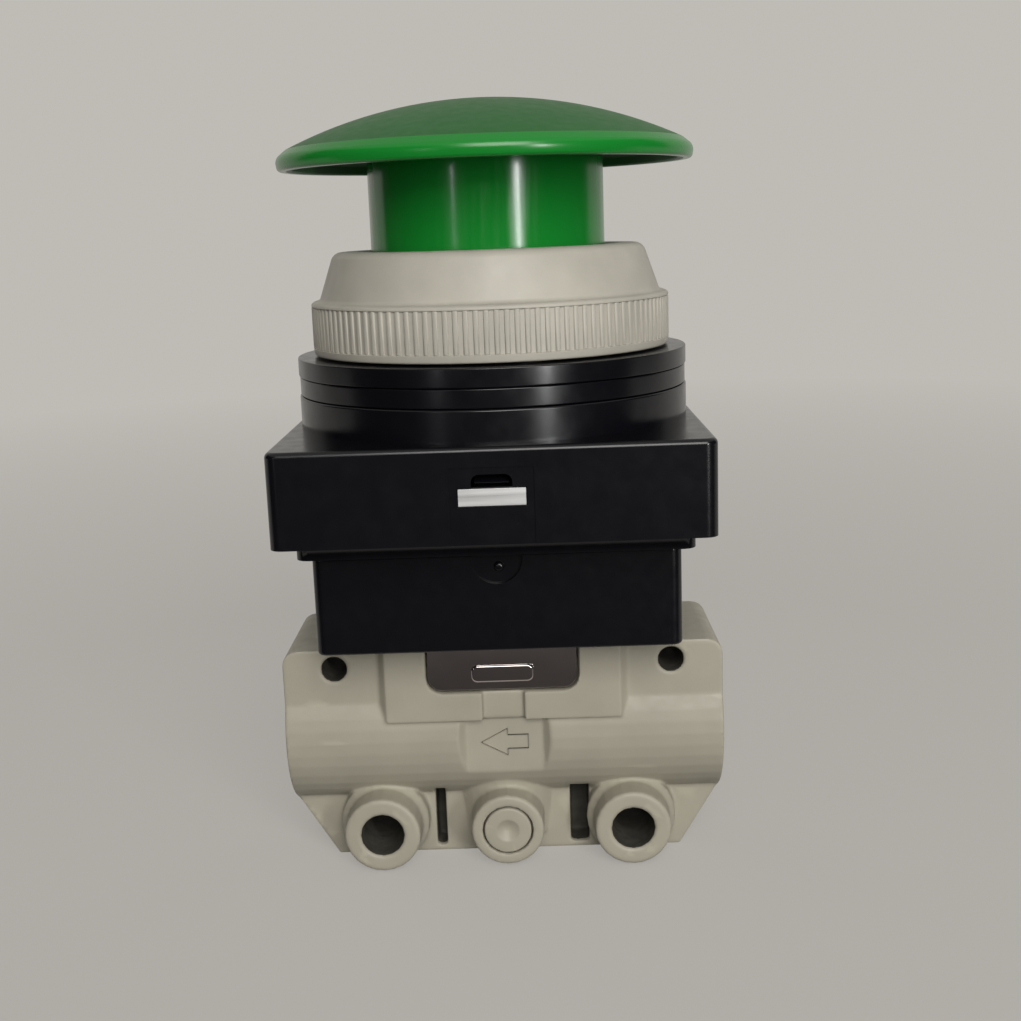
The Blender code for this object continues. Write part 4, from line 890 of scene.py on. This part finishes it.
class MakeCrossHolePlug(bpy.types.Operator):
    """Makes the dimpled plug in the front boss"""

    bl_idname = "push_valve.cross_hole_plug"
    bl_label = "Cross hole plug"

    def execute(self, context):
        paint = casting_paint(context)
        radius = (PLUG_HIGH.x - PLUG_LOW.x) / 2
        thickness = PLUG_HIGH.y - PLUG_LOW.y
        dimple = radius * DIMPLE_SHARE
        reach, depth = DIMPLE_FLOOR
        corners = [
            (0.0, thickness - dimple * DIMPLE_DEPTH, 0.0),
            (dimple * reach, thickness - dimple * depth, 0.0),
            (dimple, thickness, FLAT),
            (radius, thickness, 2 * FLAT),
            (radius, 0.0, 0.0),
            (0.0, 0.0, 0.0),
        ]
        middle = (PLUG_HIGH + PLUG_LOW) / 2
        shape = turned(corners, ROUND_SMALL, closed=False)
        face_front(shape, (middle.x, PLUG_HIGH.y, middle.z))
        plug = made_object(shape, "dimpled_plug")
        dress(plug, "valve", "painted_casting", paint, "cross_hole_plug")
        return {"FINISHED"}


class MakeBracket(bpy.types.Operator):
    """Makes the bright bent bracket between the body and the lower housing"""

    bl_idname = "push_valve.bracket"
    bl_label = "Actuator bracket"

    def execute(self, context):
        colour = finish_colour(context, "plating")
        plating = shared_finish("bright_plating", bright_plating, colour)
        bracket = merged_copy("actuator_bracket", "bent_bracket")
        reach = Vector((STAMP_HALF.x + FLAT, 0.0, STAMP_HALF.z + FLAT))
        before = Vector((0.0, LEG_FACE - OVERSHOOT, STAMP_HEIGHT))
        past = Vector((0.0, LEG_FACE, STAMP_HEIGHT))
        combine(bracket, [block(before - reach, past + reach)], "DIFFERENCE")
        edges = bracket.modifiers.new("rounded edges", "BEVEL")
        edges.width = BRACKET_EDGE
        edges.segments = EDGE_STEPS
        edges.limit_method = "ANGLE"
        edges.angle_limit = BRACKET_EDGE_ANGLE
        settle(bracket)
        half = Vector((STAMP_HALF.x, STAMP_HALF.z, 0.0))
        pad_high = half + Vector((0.0, 0.0, 2 * STAMP_ROUND))
        pad = block(-half, pad_high, STAMP_CORNER, STAMP_ROUND)
        bmesh.ops.scale(pad, vec=(1.0, 1.0, STAMP_RISE / STAMP_ROUND), verts=pad.verts)
        face_front(pad, (0.0, LEG_FACE + STAMP_RISE, STAMP_HEIGHT))
        combine(bracket, [pad], "UNION")
        dress(bracket, "valve", "plated_steel", plating, "actuator_bracket")
        return {"FINISHED"}


class MakeLowerHousing(bpy.types.Operator):
    """Makes the lower housing with the mark of its moulding gate"""

    bl_idname = "push_valve.lower_housing"
    bl_label = "Lower housing"

    def execute(self, context):
        rounding = context.scene.push_valve_shape.moulded_edge * CUP_EDGE_SHARE
        plastic = black_plastic(context)
        cup = made_object(block(LOWER_LOW, LOWER_HIGH, CUP_CORNER, rounding), "lower_cup")
        inset = Vector((CUP_WALL, CUP_WALL, 0.0))
        floor = Vector((0.0, 0.0, CUP_WALL))
        cavity = block(LOWER_LOW + inset + floor, LOWER_HIGH - inset + floor)
        base, surface = LOWER_LOW.z, LOWER_LOW.y + DISH_DEPTH
        opening = rod(CUP_HOLE, base - OVERSHOOT, base + CUP_WALL + OVERSHOOT)
        height = LOWER_HIGH.z - DISH_DROP
        dish = rod(DISH_RADIUS, 0.0, OVERSHOOT)
        face_front(dish, (0.0, surface, height))
        combine(cup, [cavity, opening, dish], "DIFFERENCE")
        dress(cup, "valve", "black_plastic", plastic, "lower_housing")
        gate = bmesh.new()
        bmesh.ops.create_uvsphere(gate, u_segments=24, v_segments=12, radius=GATE_RADIUS)
        bmesh.ops.scale(gate, vec=(1.0, GATE_FLATNESS, 1.0), verts=gate.verts)
        bmesh.ops.translate(gate, vec=(GATE_SHIFT, surface, height - GATE_DROP), verts=gate.verts)
        dress(made_object(gate, "gate_stub"), "valve", "black_plastic", plastic)
        return {"FINISHED"}


class MakeAdapterPlate(bpy.types.Operator):
    """Makes the plate between the two housings, with its guide tower and snap hooks"""

    bl_idname = "push_valve.adapter_plate"
    bl_label = "Adapter plate"

    def execute(self, context):
        plate = merged_copy("adapter_plate", "joining_plate")
        dress(plate, "valve", "black_plastic", black_plastic(context), "adapter_plate")
        return {"FINISHED"}


class MakeUpperHousing(bpy.types.Operator):
    """Makes the upper housing with its collar, sleeve, tongue, window and plate recess"""

    bl_idname = "push_valve.upper_housing"
    bl_label = "Upper housing"

    def execute(self, context):
        sizes = context.scene.push_valve_shape
        rounding = sizes.moulded_edge
        low = UPPER_LOW
        high = Vector((UPPER_HIGH.x, UPPER_HIGH.y, SHOULDER))
        shell = block(low, high, sizes.housing_corner)
        rims = [e for e in shell.edges if min(v.co.z for v in e.verts) > high.z - MERGE]
        round_off(shell, rims, sizes.housing_edge, CORNER_STEPS)
        housing = made_object(shell, "upper_case")
        neck = turned(
            [
                (0.0, UPPER_HIGH.z, 0.0),
                (SLEEVE_RADIUS, UPPER_HIGH.z, rounding),
                (SLEEVE_RADIUS, COLLAR_TOP, 0.0),
                (COLLAR_RADIUS, COLLAR_TOP, rounding),
                (COLLAR_RADIUS, SHOULDER - ROOF / 2, 0.0),
                (0.0, SHOULDER - ROOF / 2, 0.0),
            ],
            closed=False,
        )
        combine(housing, [neck], "UNION")
        cavity_low = (low.x + WALL, low.y + WALL, low.z - OVERSHOOT)
        cavity_high = (-low.x - WALL, -low.y - WALL, SHOULDER - ROOF)
        bore = turned(
            [
                (0.0, UPPER_HIGH.z + OVERSHOOT, 0.0),
                (SLEEVE_BORE, UPPER_HIGH.z + OVERSHOOT, 0.0),
                (SLEEVE_BORE, STOP_LEDGE, 0.0),
                (STOP_ROOM, STOP_LEDGE, 0.0),
                (STOP_ROOM, SHOULDER - ROOF - OVERSHOOT, 0.0),
                (0.0, SHOULDER - ROOF - OVERSHOOT, 0.0),
            ],
            closed=False,
        )
        front, past = low.y, low.y - OVERSHOOT
        cuts = [block(cavity_low, cavity_high), bore]
        inner = WALL + OVERSHOOT
        for near, far in ((past, front + inner), (-front - inner, -past)):
            window = block((-WINDOW_HALF, near, WINDOW_LOW), (WINDOW_HALF, far, WINDOW_HIGH))
            ceiling = WINDOW_HIGH - MERGE
            tops = [e for e in window.edges if min(v.co.z for v in e.verts) > ceiling]
            arched = [e for e in tops if abs(e.verts[0].co.y - e.verts[1].co.y) > WALL]
            round_off(window, arched, WINDOW_ARCH, CORNER_STEPS)
            cuts.append(window)
        tongue_high = (TONGUE_HALF, front + TONGUE_DEPTH, TONGUE_TOP)
        cuts.append(block((-TONGUE_HALF, past, low.z - OVERSHOOT), tongue_high))
        recess_high = (LABEL_HALF, front + TONGUE_DEPTH + LABEL_DEPTH, WINDOW_LOW)
        cuts.append(block((-LABEL_HALF, past, LABEL_LOW), recess_high))
        combine(housing, cuts, "DIFFERENCE")
        dress(housing, "valve", "black_plastic", black_plastic(context), "upper_housing")
        return {"FINISHED"}


class MakeBarePlate(bpy.types.Operator):
    """Makes the small bare metal plate in the upper housing's front"""

    bl_idname = "push_valve.bare_plate"
    bl_label = "Bare plate"

    def execute(self, context):
        metal = shared_finish("brushed_plate", brushed_plate, finish_colour(context, "label"))
        floor = UPPER_LOW.y + TONGUE_DEPTH + LABEL_DEPTH
        low = (-LABEL_HALF + FLAT, floor - LABEL_THICKNESS, LABEL_LOW + FLAT)
        high = (LABEL_HALF - FLAT, floor, WINDOW_LOW - FLAT)
        plate = block(low, high, edge=LABEL_EDGE)
        dress(made_object(plate, "bare_plate"), "valve", "plated_steel", metal)
        return {"FINISHED"}


class MakeClampRings(bpy.types.Operator):
    """Makes the two black rings that clamp the panel"""

    bl_idname = "push_valve.clamp_rings"
    bl_label = "Clamp rings"

    def execute(self, context):
        rounding = context.scene.push_valve_shape.moulded_edge * RING_EDGE_SHARE
        plastic = black_plastic(context)
        rings = [
            ("first_ring", "lower_clamp_ring", "valve", FIRST_RING_LOW, FIRST_RING_HIGH),
            ("second_ring", "upper_clamp_ring", "clamp_ring", SECOND_RING_LOW, SECOND_RING_HIGH),
        ]
        for name, node, body, low, high in rings:
            base = low.z - RING_SEAM
            corners = [(NUT_BORE, high.z, 0.0), (high.x, high.z, rounding)]
            corners += [(high.x, base, rounding), (NUT_BORE, base, 0.0)]
            dress(made_object(turned(corners), name), body, "black_plastic", plastic, node)
        return {"FINISHED"}


class MakeRingNut(bpy.types.Operator):
    """Makes the knurled ring nut with its round-ended ribs"""

    bl_idname = "push_valve.ring_nut"
    bl_label = "Ring nut"

    def execute(self, context):
        sizes = context.scene.push_valve_shape
        rounding = sizes.moulded_edge
        crest = NUT_HIGH.x
        root = crest - sizes.knurl_depth
        low, high = NUT_LOW.z, NUT_HIGH.z
        corners = [
            (NUT_MOUTH, high, rounding),
            (CONE_TOP, high, CONE_ROUND),
            (CONE_FOOT, FLANGE_TOP, 4 * FLAT),
            (crest - FLANGE_EDGE / 2, FLANGE_TOP, rounding),
            (crest, FLANGE_TOP - KNURL_HIGH * 0.6, rounding / 2),
            (crest, FLANGE_TOP - KNURL_HIGH, 0.0),
            (root, FLANGE_TOP - KNURL_HIGH - sizes.knurl_depth / 2, 0.0),
            (root, low + KNURL_LOW + sizes.knurl_depth / 2, 0.0),
            (crest, low + KNURL_LOW, 0.0),
            (crest - FLANGE_EDGE / 4, low, rounding),
            (NUT_BORE, low, 0.0),
            (NUT_BORE, high - NUT_ROOF, 0.0),
            (NUT_MOUTH, high - NUT_ROOF, 0.0),
        ]
        shape = turned(corners, 2 * sizes.knurl_count)
        self.add_ribs(shape, sizes, crest)
        nut = made_object(shape, "knurled_nut")
        dress(nut, "nut", "off_white_plastic", cream_plastic(context), "ring_nut")
        return {"FINISHED"}

    def add_ribs(self, shape, sizes, crest):
        """Makes one rib, repeats it all the way round and adds the ribs to the flange."""
        count = sizes.knurl_count
        half = math.pi * crest / count * sizes.knurl_land
        bottom, top = NUT_LOW.z + KNURL_LOW, FLANGE_TOP - KNURL_HIGH
        rib = block((crest - 3 * sizes.knurl_depth, -half, bottom), (crest, half, top))
        face = next(f for f in rib.faces if f.normal.x > 0.5)
        round_off(rib, face.edges[:], sizes.knurl_depth, 2)
        bmesh.ops.spin(
            rib,
            geom=rib.verts[:] + rib.edges[:] + rib.faces[:],
            cent=(0.0, 0.0, 0.0),
            axis=(0.0, 0.0, 1.0),
            angle=math.tau * (count - 1) / count,
            steps=count - 1,
            use_duplicate=True,
        )
        mesh = bpy.data.meshes.new("ribs")
        rib.to_mesh(mesh)
        rib.free()
        shape.from_mesh(mesh)
        bpy.data.meshes.remove(mesh)


class MakeMushroomHead(bpy.types.Operator):
    """Makes the domed head and the polished stem below it"""

    bl_idname = "push_valve.mushroom_head"
    bl_label = "Mushroom head"

    def execute(self, context):
        sizes = context.scene.push_valve_shape
        crown, edge = HEAD_HIGH.z, HEAD_HIGH.x
        sphere = sizes.dome_radius
        rounding = sizes.rim_rounding
        inner, low, groove = edge - RIM_WALL, HEAD_LOW.z, STEM_RADIUS - GROOVE_DEPTH
        groove_top, groove_base = STOP_HIGH.z + RING_FIT, STOP_LOW.z - RING_FIT
        under = crown - sphere + math.sqrt(sphere**2 - STEM_RADIUS**2) - RIM_WALL
        corners = dome_arc(crown, sphere, edge - RIM_CREASE)
        rim_top = corners[-1][1]
        corners[-1] = (corners[-1][0], rim_top, FLAT)
        corners += [
            (edge, rim_top - RIM_SLOPE, RIM_SLOPE * 0.6),
            (edge - rounding / 3, RIM_BASE, rounding / 2),
            (inner, RIM_BASE, rounding / 3),
            (inner, rim_top - RIM_SLOPE, rounding / 2),
            (STEM_RADIUS, under, rounding),
            (STEM_RADIUS, groove_top, 0.0),
            (groove, groove_top, 0.0),
            (groove, groove_base, 0.0),
            (STEM_RADIUS, groove_base, 0.0),
            (STEM_RADIUS, low, FLAT),
            (STEM_BORE, low, FLAT),
            (STEM_BORE, ROD_SEAT, 0.0),
            (SOCKET_RADIUS, ROD_SEAT, 0.0),
        ]
        corners += reversed(dome_arc(crown, sphere, SOCKET_RADIUS, CROWN_WALL, 6))
        head = made_object(turned(corners, closed=False), "mushroom_head")
        green = shared_finish("green_moulding", head_plastic, finish_colour(context, "head"))
        dress(head, "button", "green_plastic", green, "mushroom_button")
        return {"FINISHED"}


class FinishInnerParts(bpy.types.Operator):
    """Gives the pieces inside the valve their finishes, and makes the springs."""

    bl_idname = "push_valve.inner_parts"
    bl_label = "Inner parts"

    def execute(self, context):
        brass = shared_finish("turned_brass", bare_metal, BRASS, BRASS_ROUGHNESS)
        wire = shared_finish("spring_wire", bare_metal, STEEL_WIRE, WIRE_ROUGHNESS)
        zinc = shared_finish("zinc_plate", bare_metal, ZINC, ZINC_ROUGHNESS)
        seal = shared_finish("nitrile_seal", rubber)
        screws = ["bracket_screw_1", "bracket_screw_2"]
        screws += [f"adapter_screw_{number}" for number in range(1, 5)]
        groups = [
            (brass, ["valve_seat", "plunger_guide", "plunger", "poppet"]),
            (seal, ["seat_ring_seal", "guide_ring_seal", "plunger_seal", "poppet_seal"]),
            (zinc, [*screws, "button_stop_ring"]),
            (black_plastic(context), ["push_rod"]),
        ]
        for finish, names in groups:
            for name in names:
                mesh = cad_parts[name].data
                mesh.materials.clear()
                mesh.materials.append(finish)
        for node, joint, travel in SPRINGS:
            coil = merged_copy(node, node.replace("spring", "coil"))
            dress(coil, "valve", "spring_steel", wire, node)
            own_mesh(coil)
        return {"FINISHED"}


class MakeStage(bpy.types.Operator):
    """Makes the pale floor and backdrop, the soft lights, the dark cards and the camera"""

    bl_idname = "push_valve.stage"
    bl_label = "Stage"

    def execute(self, context):
        stage = context.scene.push_valve_stage
        self.make_floor(stage)
        self.make_world(context, stage)
        key = self.make_light("key_light", stage.key_power, KEY_SIZE, KEY_PLACE)
        key.data.color = WARM_WHITE
        for number, place in enumerate(REAR_PLACES, 1):
            rear = self.make_light(f"rear_light_{number}", stage.rear_power / 2, REAR_SIZE, place)
            rear.visible_glossy = False
            rear.data.color = WARM_WHITE
        left, right = STRIP_LEFT_SIZE, STRIP_RIGHT_SIZE
        faint = stage.strip_power * STRIP_LEFT_SHARE
        self.make_light("left_strip", faint, left[0], STRIP_LEFT, left[1])
        self.make_light("right_strip", stage.strip_power, right[0], STRIP_RIGHT, right[1])
        self.make_cards()
        self.make_camera(context)
        context.scene.view_settings.view_transform = "Standard"
        return {"FINISHED"}

    def make_floor(self, stage):
        """The wide floor, which melts into the backdrop's colour away from the valve."""
        shape = bmesh.new()
        bmesh.ops.create_circle(shape, cap_ends=True, segments=ROUND, radius=FLOOR_REACH)
        floor = made_object(shape, "floor")
        material, tree, shader = new_finish("pale_sheet", Specular_IOR_Level=0.2, Roughness=0.8)
        sheet = tinted(tree, self.seen(tree), tuple(stage.floor), FLOOR_BOUNCE, 1.0)
        coloured(tree, shader, sheet)
        place = add_node(tree, "TexCoord").outputs["Object"]
        reach = add_node(tree, "VectorMath", {0: place}, operation="LENGTH").outputs["Value"]
        far = spread(tree, reach, FLOOR_GLOW, 1.0, *FLOOR_BLEND)
        glow = add_node(tree, "Emission", {"Color": (*stage.backdrop, 1.0)})
        share = add_node(tree, "Math", {0: far, 1: self.seen(tree)}, operation="MULTIPLY")
        inputs = {0: share.outputs[0], 1: shader.outputs[0], 2: glow.outputs[0]}
        mix = add_node(tree, "MixShader", inputs)
        output = next(node for node in tree.nodes if node.type == "OUTPUT_MATERIAL")
        tree.links.new(mix.outputs[0], output.inputs["Surface"])
        floor.data.materials.append(material)

    def seen(self, tree):
        """1 for a ray that comes from the camera, a reflection or glass, and 0 for other light."""
        rays = add_node(tree, "LightPath").outputs
        mirrored = {0: rays["Is Glossy Ray"], 1: rays["Is Transmission Ray"]}
        other = add_node(tree, "Math", mirrored, operation="MAXIMUM").outputs[0]
        both = {0: rays["Is Camera Ray"], 1: other}
        return add_node(tree, "Math", both, operation="MAXIMUM").outputs[0]

    def make_world(self, context, stage):
        """An even, slightly warm room light behind the backdrop's plain colour."""
        world = bpy.data.worlds.new("room")
        world.use_nodes = True
        tree = world.node_tree
        room = tree.nodes["Background"]
        room.inputs["Color"].default_value = ROOM_COLOUR
        room.inputs["Strength"].default_value = stage.world_strength
        colour = (*stage.backdrop, 1.0)
        backdrop = add_node(tree, "Background", {"Color": colour, "Strength": 1.0})
        inputs = {0: self.seen(tree), 1: room.outputs[0], 2: backdrop.outputs[0]}
        mix = add_node(tree, "MixShader", inputs)
        output = next(node for node in tree.nodes if node.type == "OUTPUT_WORLD")
        tree.links.new(mix.outputs[0], output.inputs["Surface"])
        context.scene.world = world

    def make_light(self, name, power, size, place, height=0.0):
        """A soft light that faces the valve, square or of a given height."""
        light = bpy.data.lights.new(name, "AREA")
        light.energy = power
        light.size = size
        if height:
            light.shape = "RECTANGLE"
            light.size_y = height
        lamp = bpy.data.objects.new(name, light)
        bpy.context.scene.collection.objects.link(lamp)
        lamp.location = place
        aim = LIGHT_AIM - Vector(place)
        lamp.rotation_euler = aim.to_track_quat("-Z", "Y").to_euler()
        return lamp

    def make_cards(self):
        """The dark floor cloth and curtain before the valve, which only polished surfaces see."""
        material, tree, shader = new_finish("dark_cloth", Roughness=0.9)
        coloured(tree, shader, tinted(tree, grain(tree, 0.01), CARD_COLOUR, 0.8, 1.2))
        cloth, curtain = bmesh.new(), bmesh.new()
        bmesh.ops.create_circle(cloth, cap_ends=True, segments=ROUND, radius=CARD_REACH)
        bmesh.ops.translate(cloth, vec=(0.0, 0.0, CARD_GAP), verts=cloth.verts)
        bmesh.ops.create_cone(
            curtain,
            cap_ends=False,
            segments=ROUND,
            radius1=CARD_REACH,
            radius2=CARD_REACH,
            depth=CARD_HEIGHT,
        )
        bmesh.ops.translate(curtain, vec=(0.0, 0.0, CARD_HEIGHT / 2), verts=curtain.verts)
        cards = (("floor_cloth", cloth, CLOTH_EDGE), ("curtain", curtain, CURTAIN_EDGE))
        for name, shape, edge in cards:
            bmesh.ops.bisect_plane(
                shape,
                geom=shape.verts[:] + shape.edges[:] + shape.faces[:],
                plane_co=(0.0, edge, 0.0),
                plane_no=(0.0, 1.0, 0.0),
                clear_outer=True,
            )
            card = made_object(shape, name)
            card.data.materials.append(material)
            card.visible_camera = False
            card.visible_diffuse = False
            card.visible_shadow = False

    def make_camera(self, context):
        """The camera at the photograph's place and angle."""
        data = bpy.data.cameras.new("camera")
        data.sensor_width = SENSOR
        data.lens = CAMERA_LENS
        data.clip_start, data.clip_end = CAMERA_CLIP
        camera = bpy.data.objects.new("camera", data)
        context.scene.collection.objects.link(camera)
        rows = (CAMERA_RIGHT, -Vector(CAMERA_DOWN), -Vector(CAMERA_AHEAD))
        turn = Matrix(rows).transposed()
        camera.matrix_world = Matrix.Translation(CAMERA_PLACE) @ turn.to_4x4()
        context.scene.camera = camera


class VIEW3D_PT_push_valve(bpy.types.Panel):
    """Lists the valve's settings and pieces"""

    bl_label = "Push-button valve"
    bl_idname = "VIEW3D_PT_push_valve"
    bl_space_type = "VIEW_3D"
    bl_region_type = "UI"
    bl_category = "Valve"

    def draw(self, context):
        layout = self.layout
        for name in ("push_valve_shape", "push_valve_finish", "push_valve_stage"):
            group = getattr(context.scene, name)
            box = layout.box()
            for field in group.__annotations__:
                box.prop(group, field)
        for operator in OPERATORS:
            layout.operator(operator.bl_idname)


SETTINGS = {
    "push_valve_shape": ValveShapeSettings,
    "push_valve_finish": ValveFinishSettings,
    "push_valve_stage": ValveStageSettings,
}
OPERATORS = (
    MakeCastBody,
    MakeCrossHolePlug,
    MakeBracket,
    MakeLowerHousing,
    MakeAdapterPlate,
    MakeUpperHousing,
    MakeBarePlate,
    MakeClampRings,
    MakeRingNut,
    MakeMushroomHead,
    FinishInnerParts,
    MakeStage,
)


def register():
    """Registers the settings, the operators and the panel."""
    for name, group in SETTINGS.items():
        bpy.utils.register_class(group)
        setattr(bpy.types.Scene, name, bpy.props.PointerProperty(type=group))
    for operator in OPERATORS:
        bpy.utils.register_class(operator)
    bpy.utils.register_class(VIEW3D_PT_push_valve)


def unregister():
    """Takes out what register put in."""
    bpy.utils.unregister_class(VIEW3D_PT_push_valve)
    for operator in reversed(OPERATORS):
        bpy.utils.unregister_class(operator)
    for name, group in SETTINGS.items():
        delattr(bpy.types.Scene, name)
        bpy.utils.unregister_class(group)


def main():
    """Registers the add-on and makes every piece."""
    register()
    for operator in OPERATORS:
        group, name = operator.bl_idname.split(".")
        getattr(getattr(bpy.ops, group), name)()


if __name__ == "__main__":
    main()
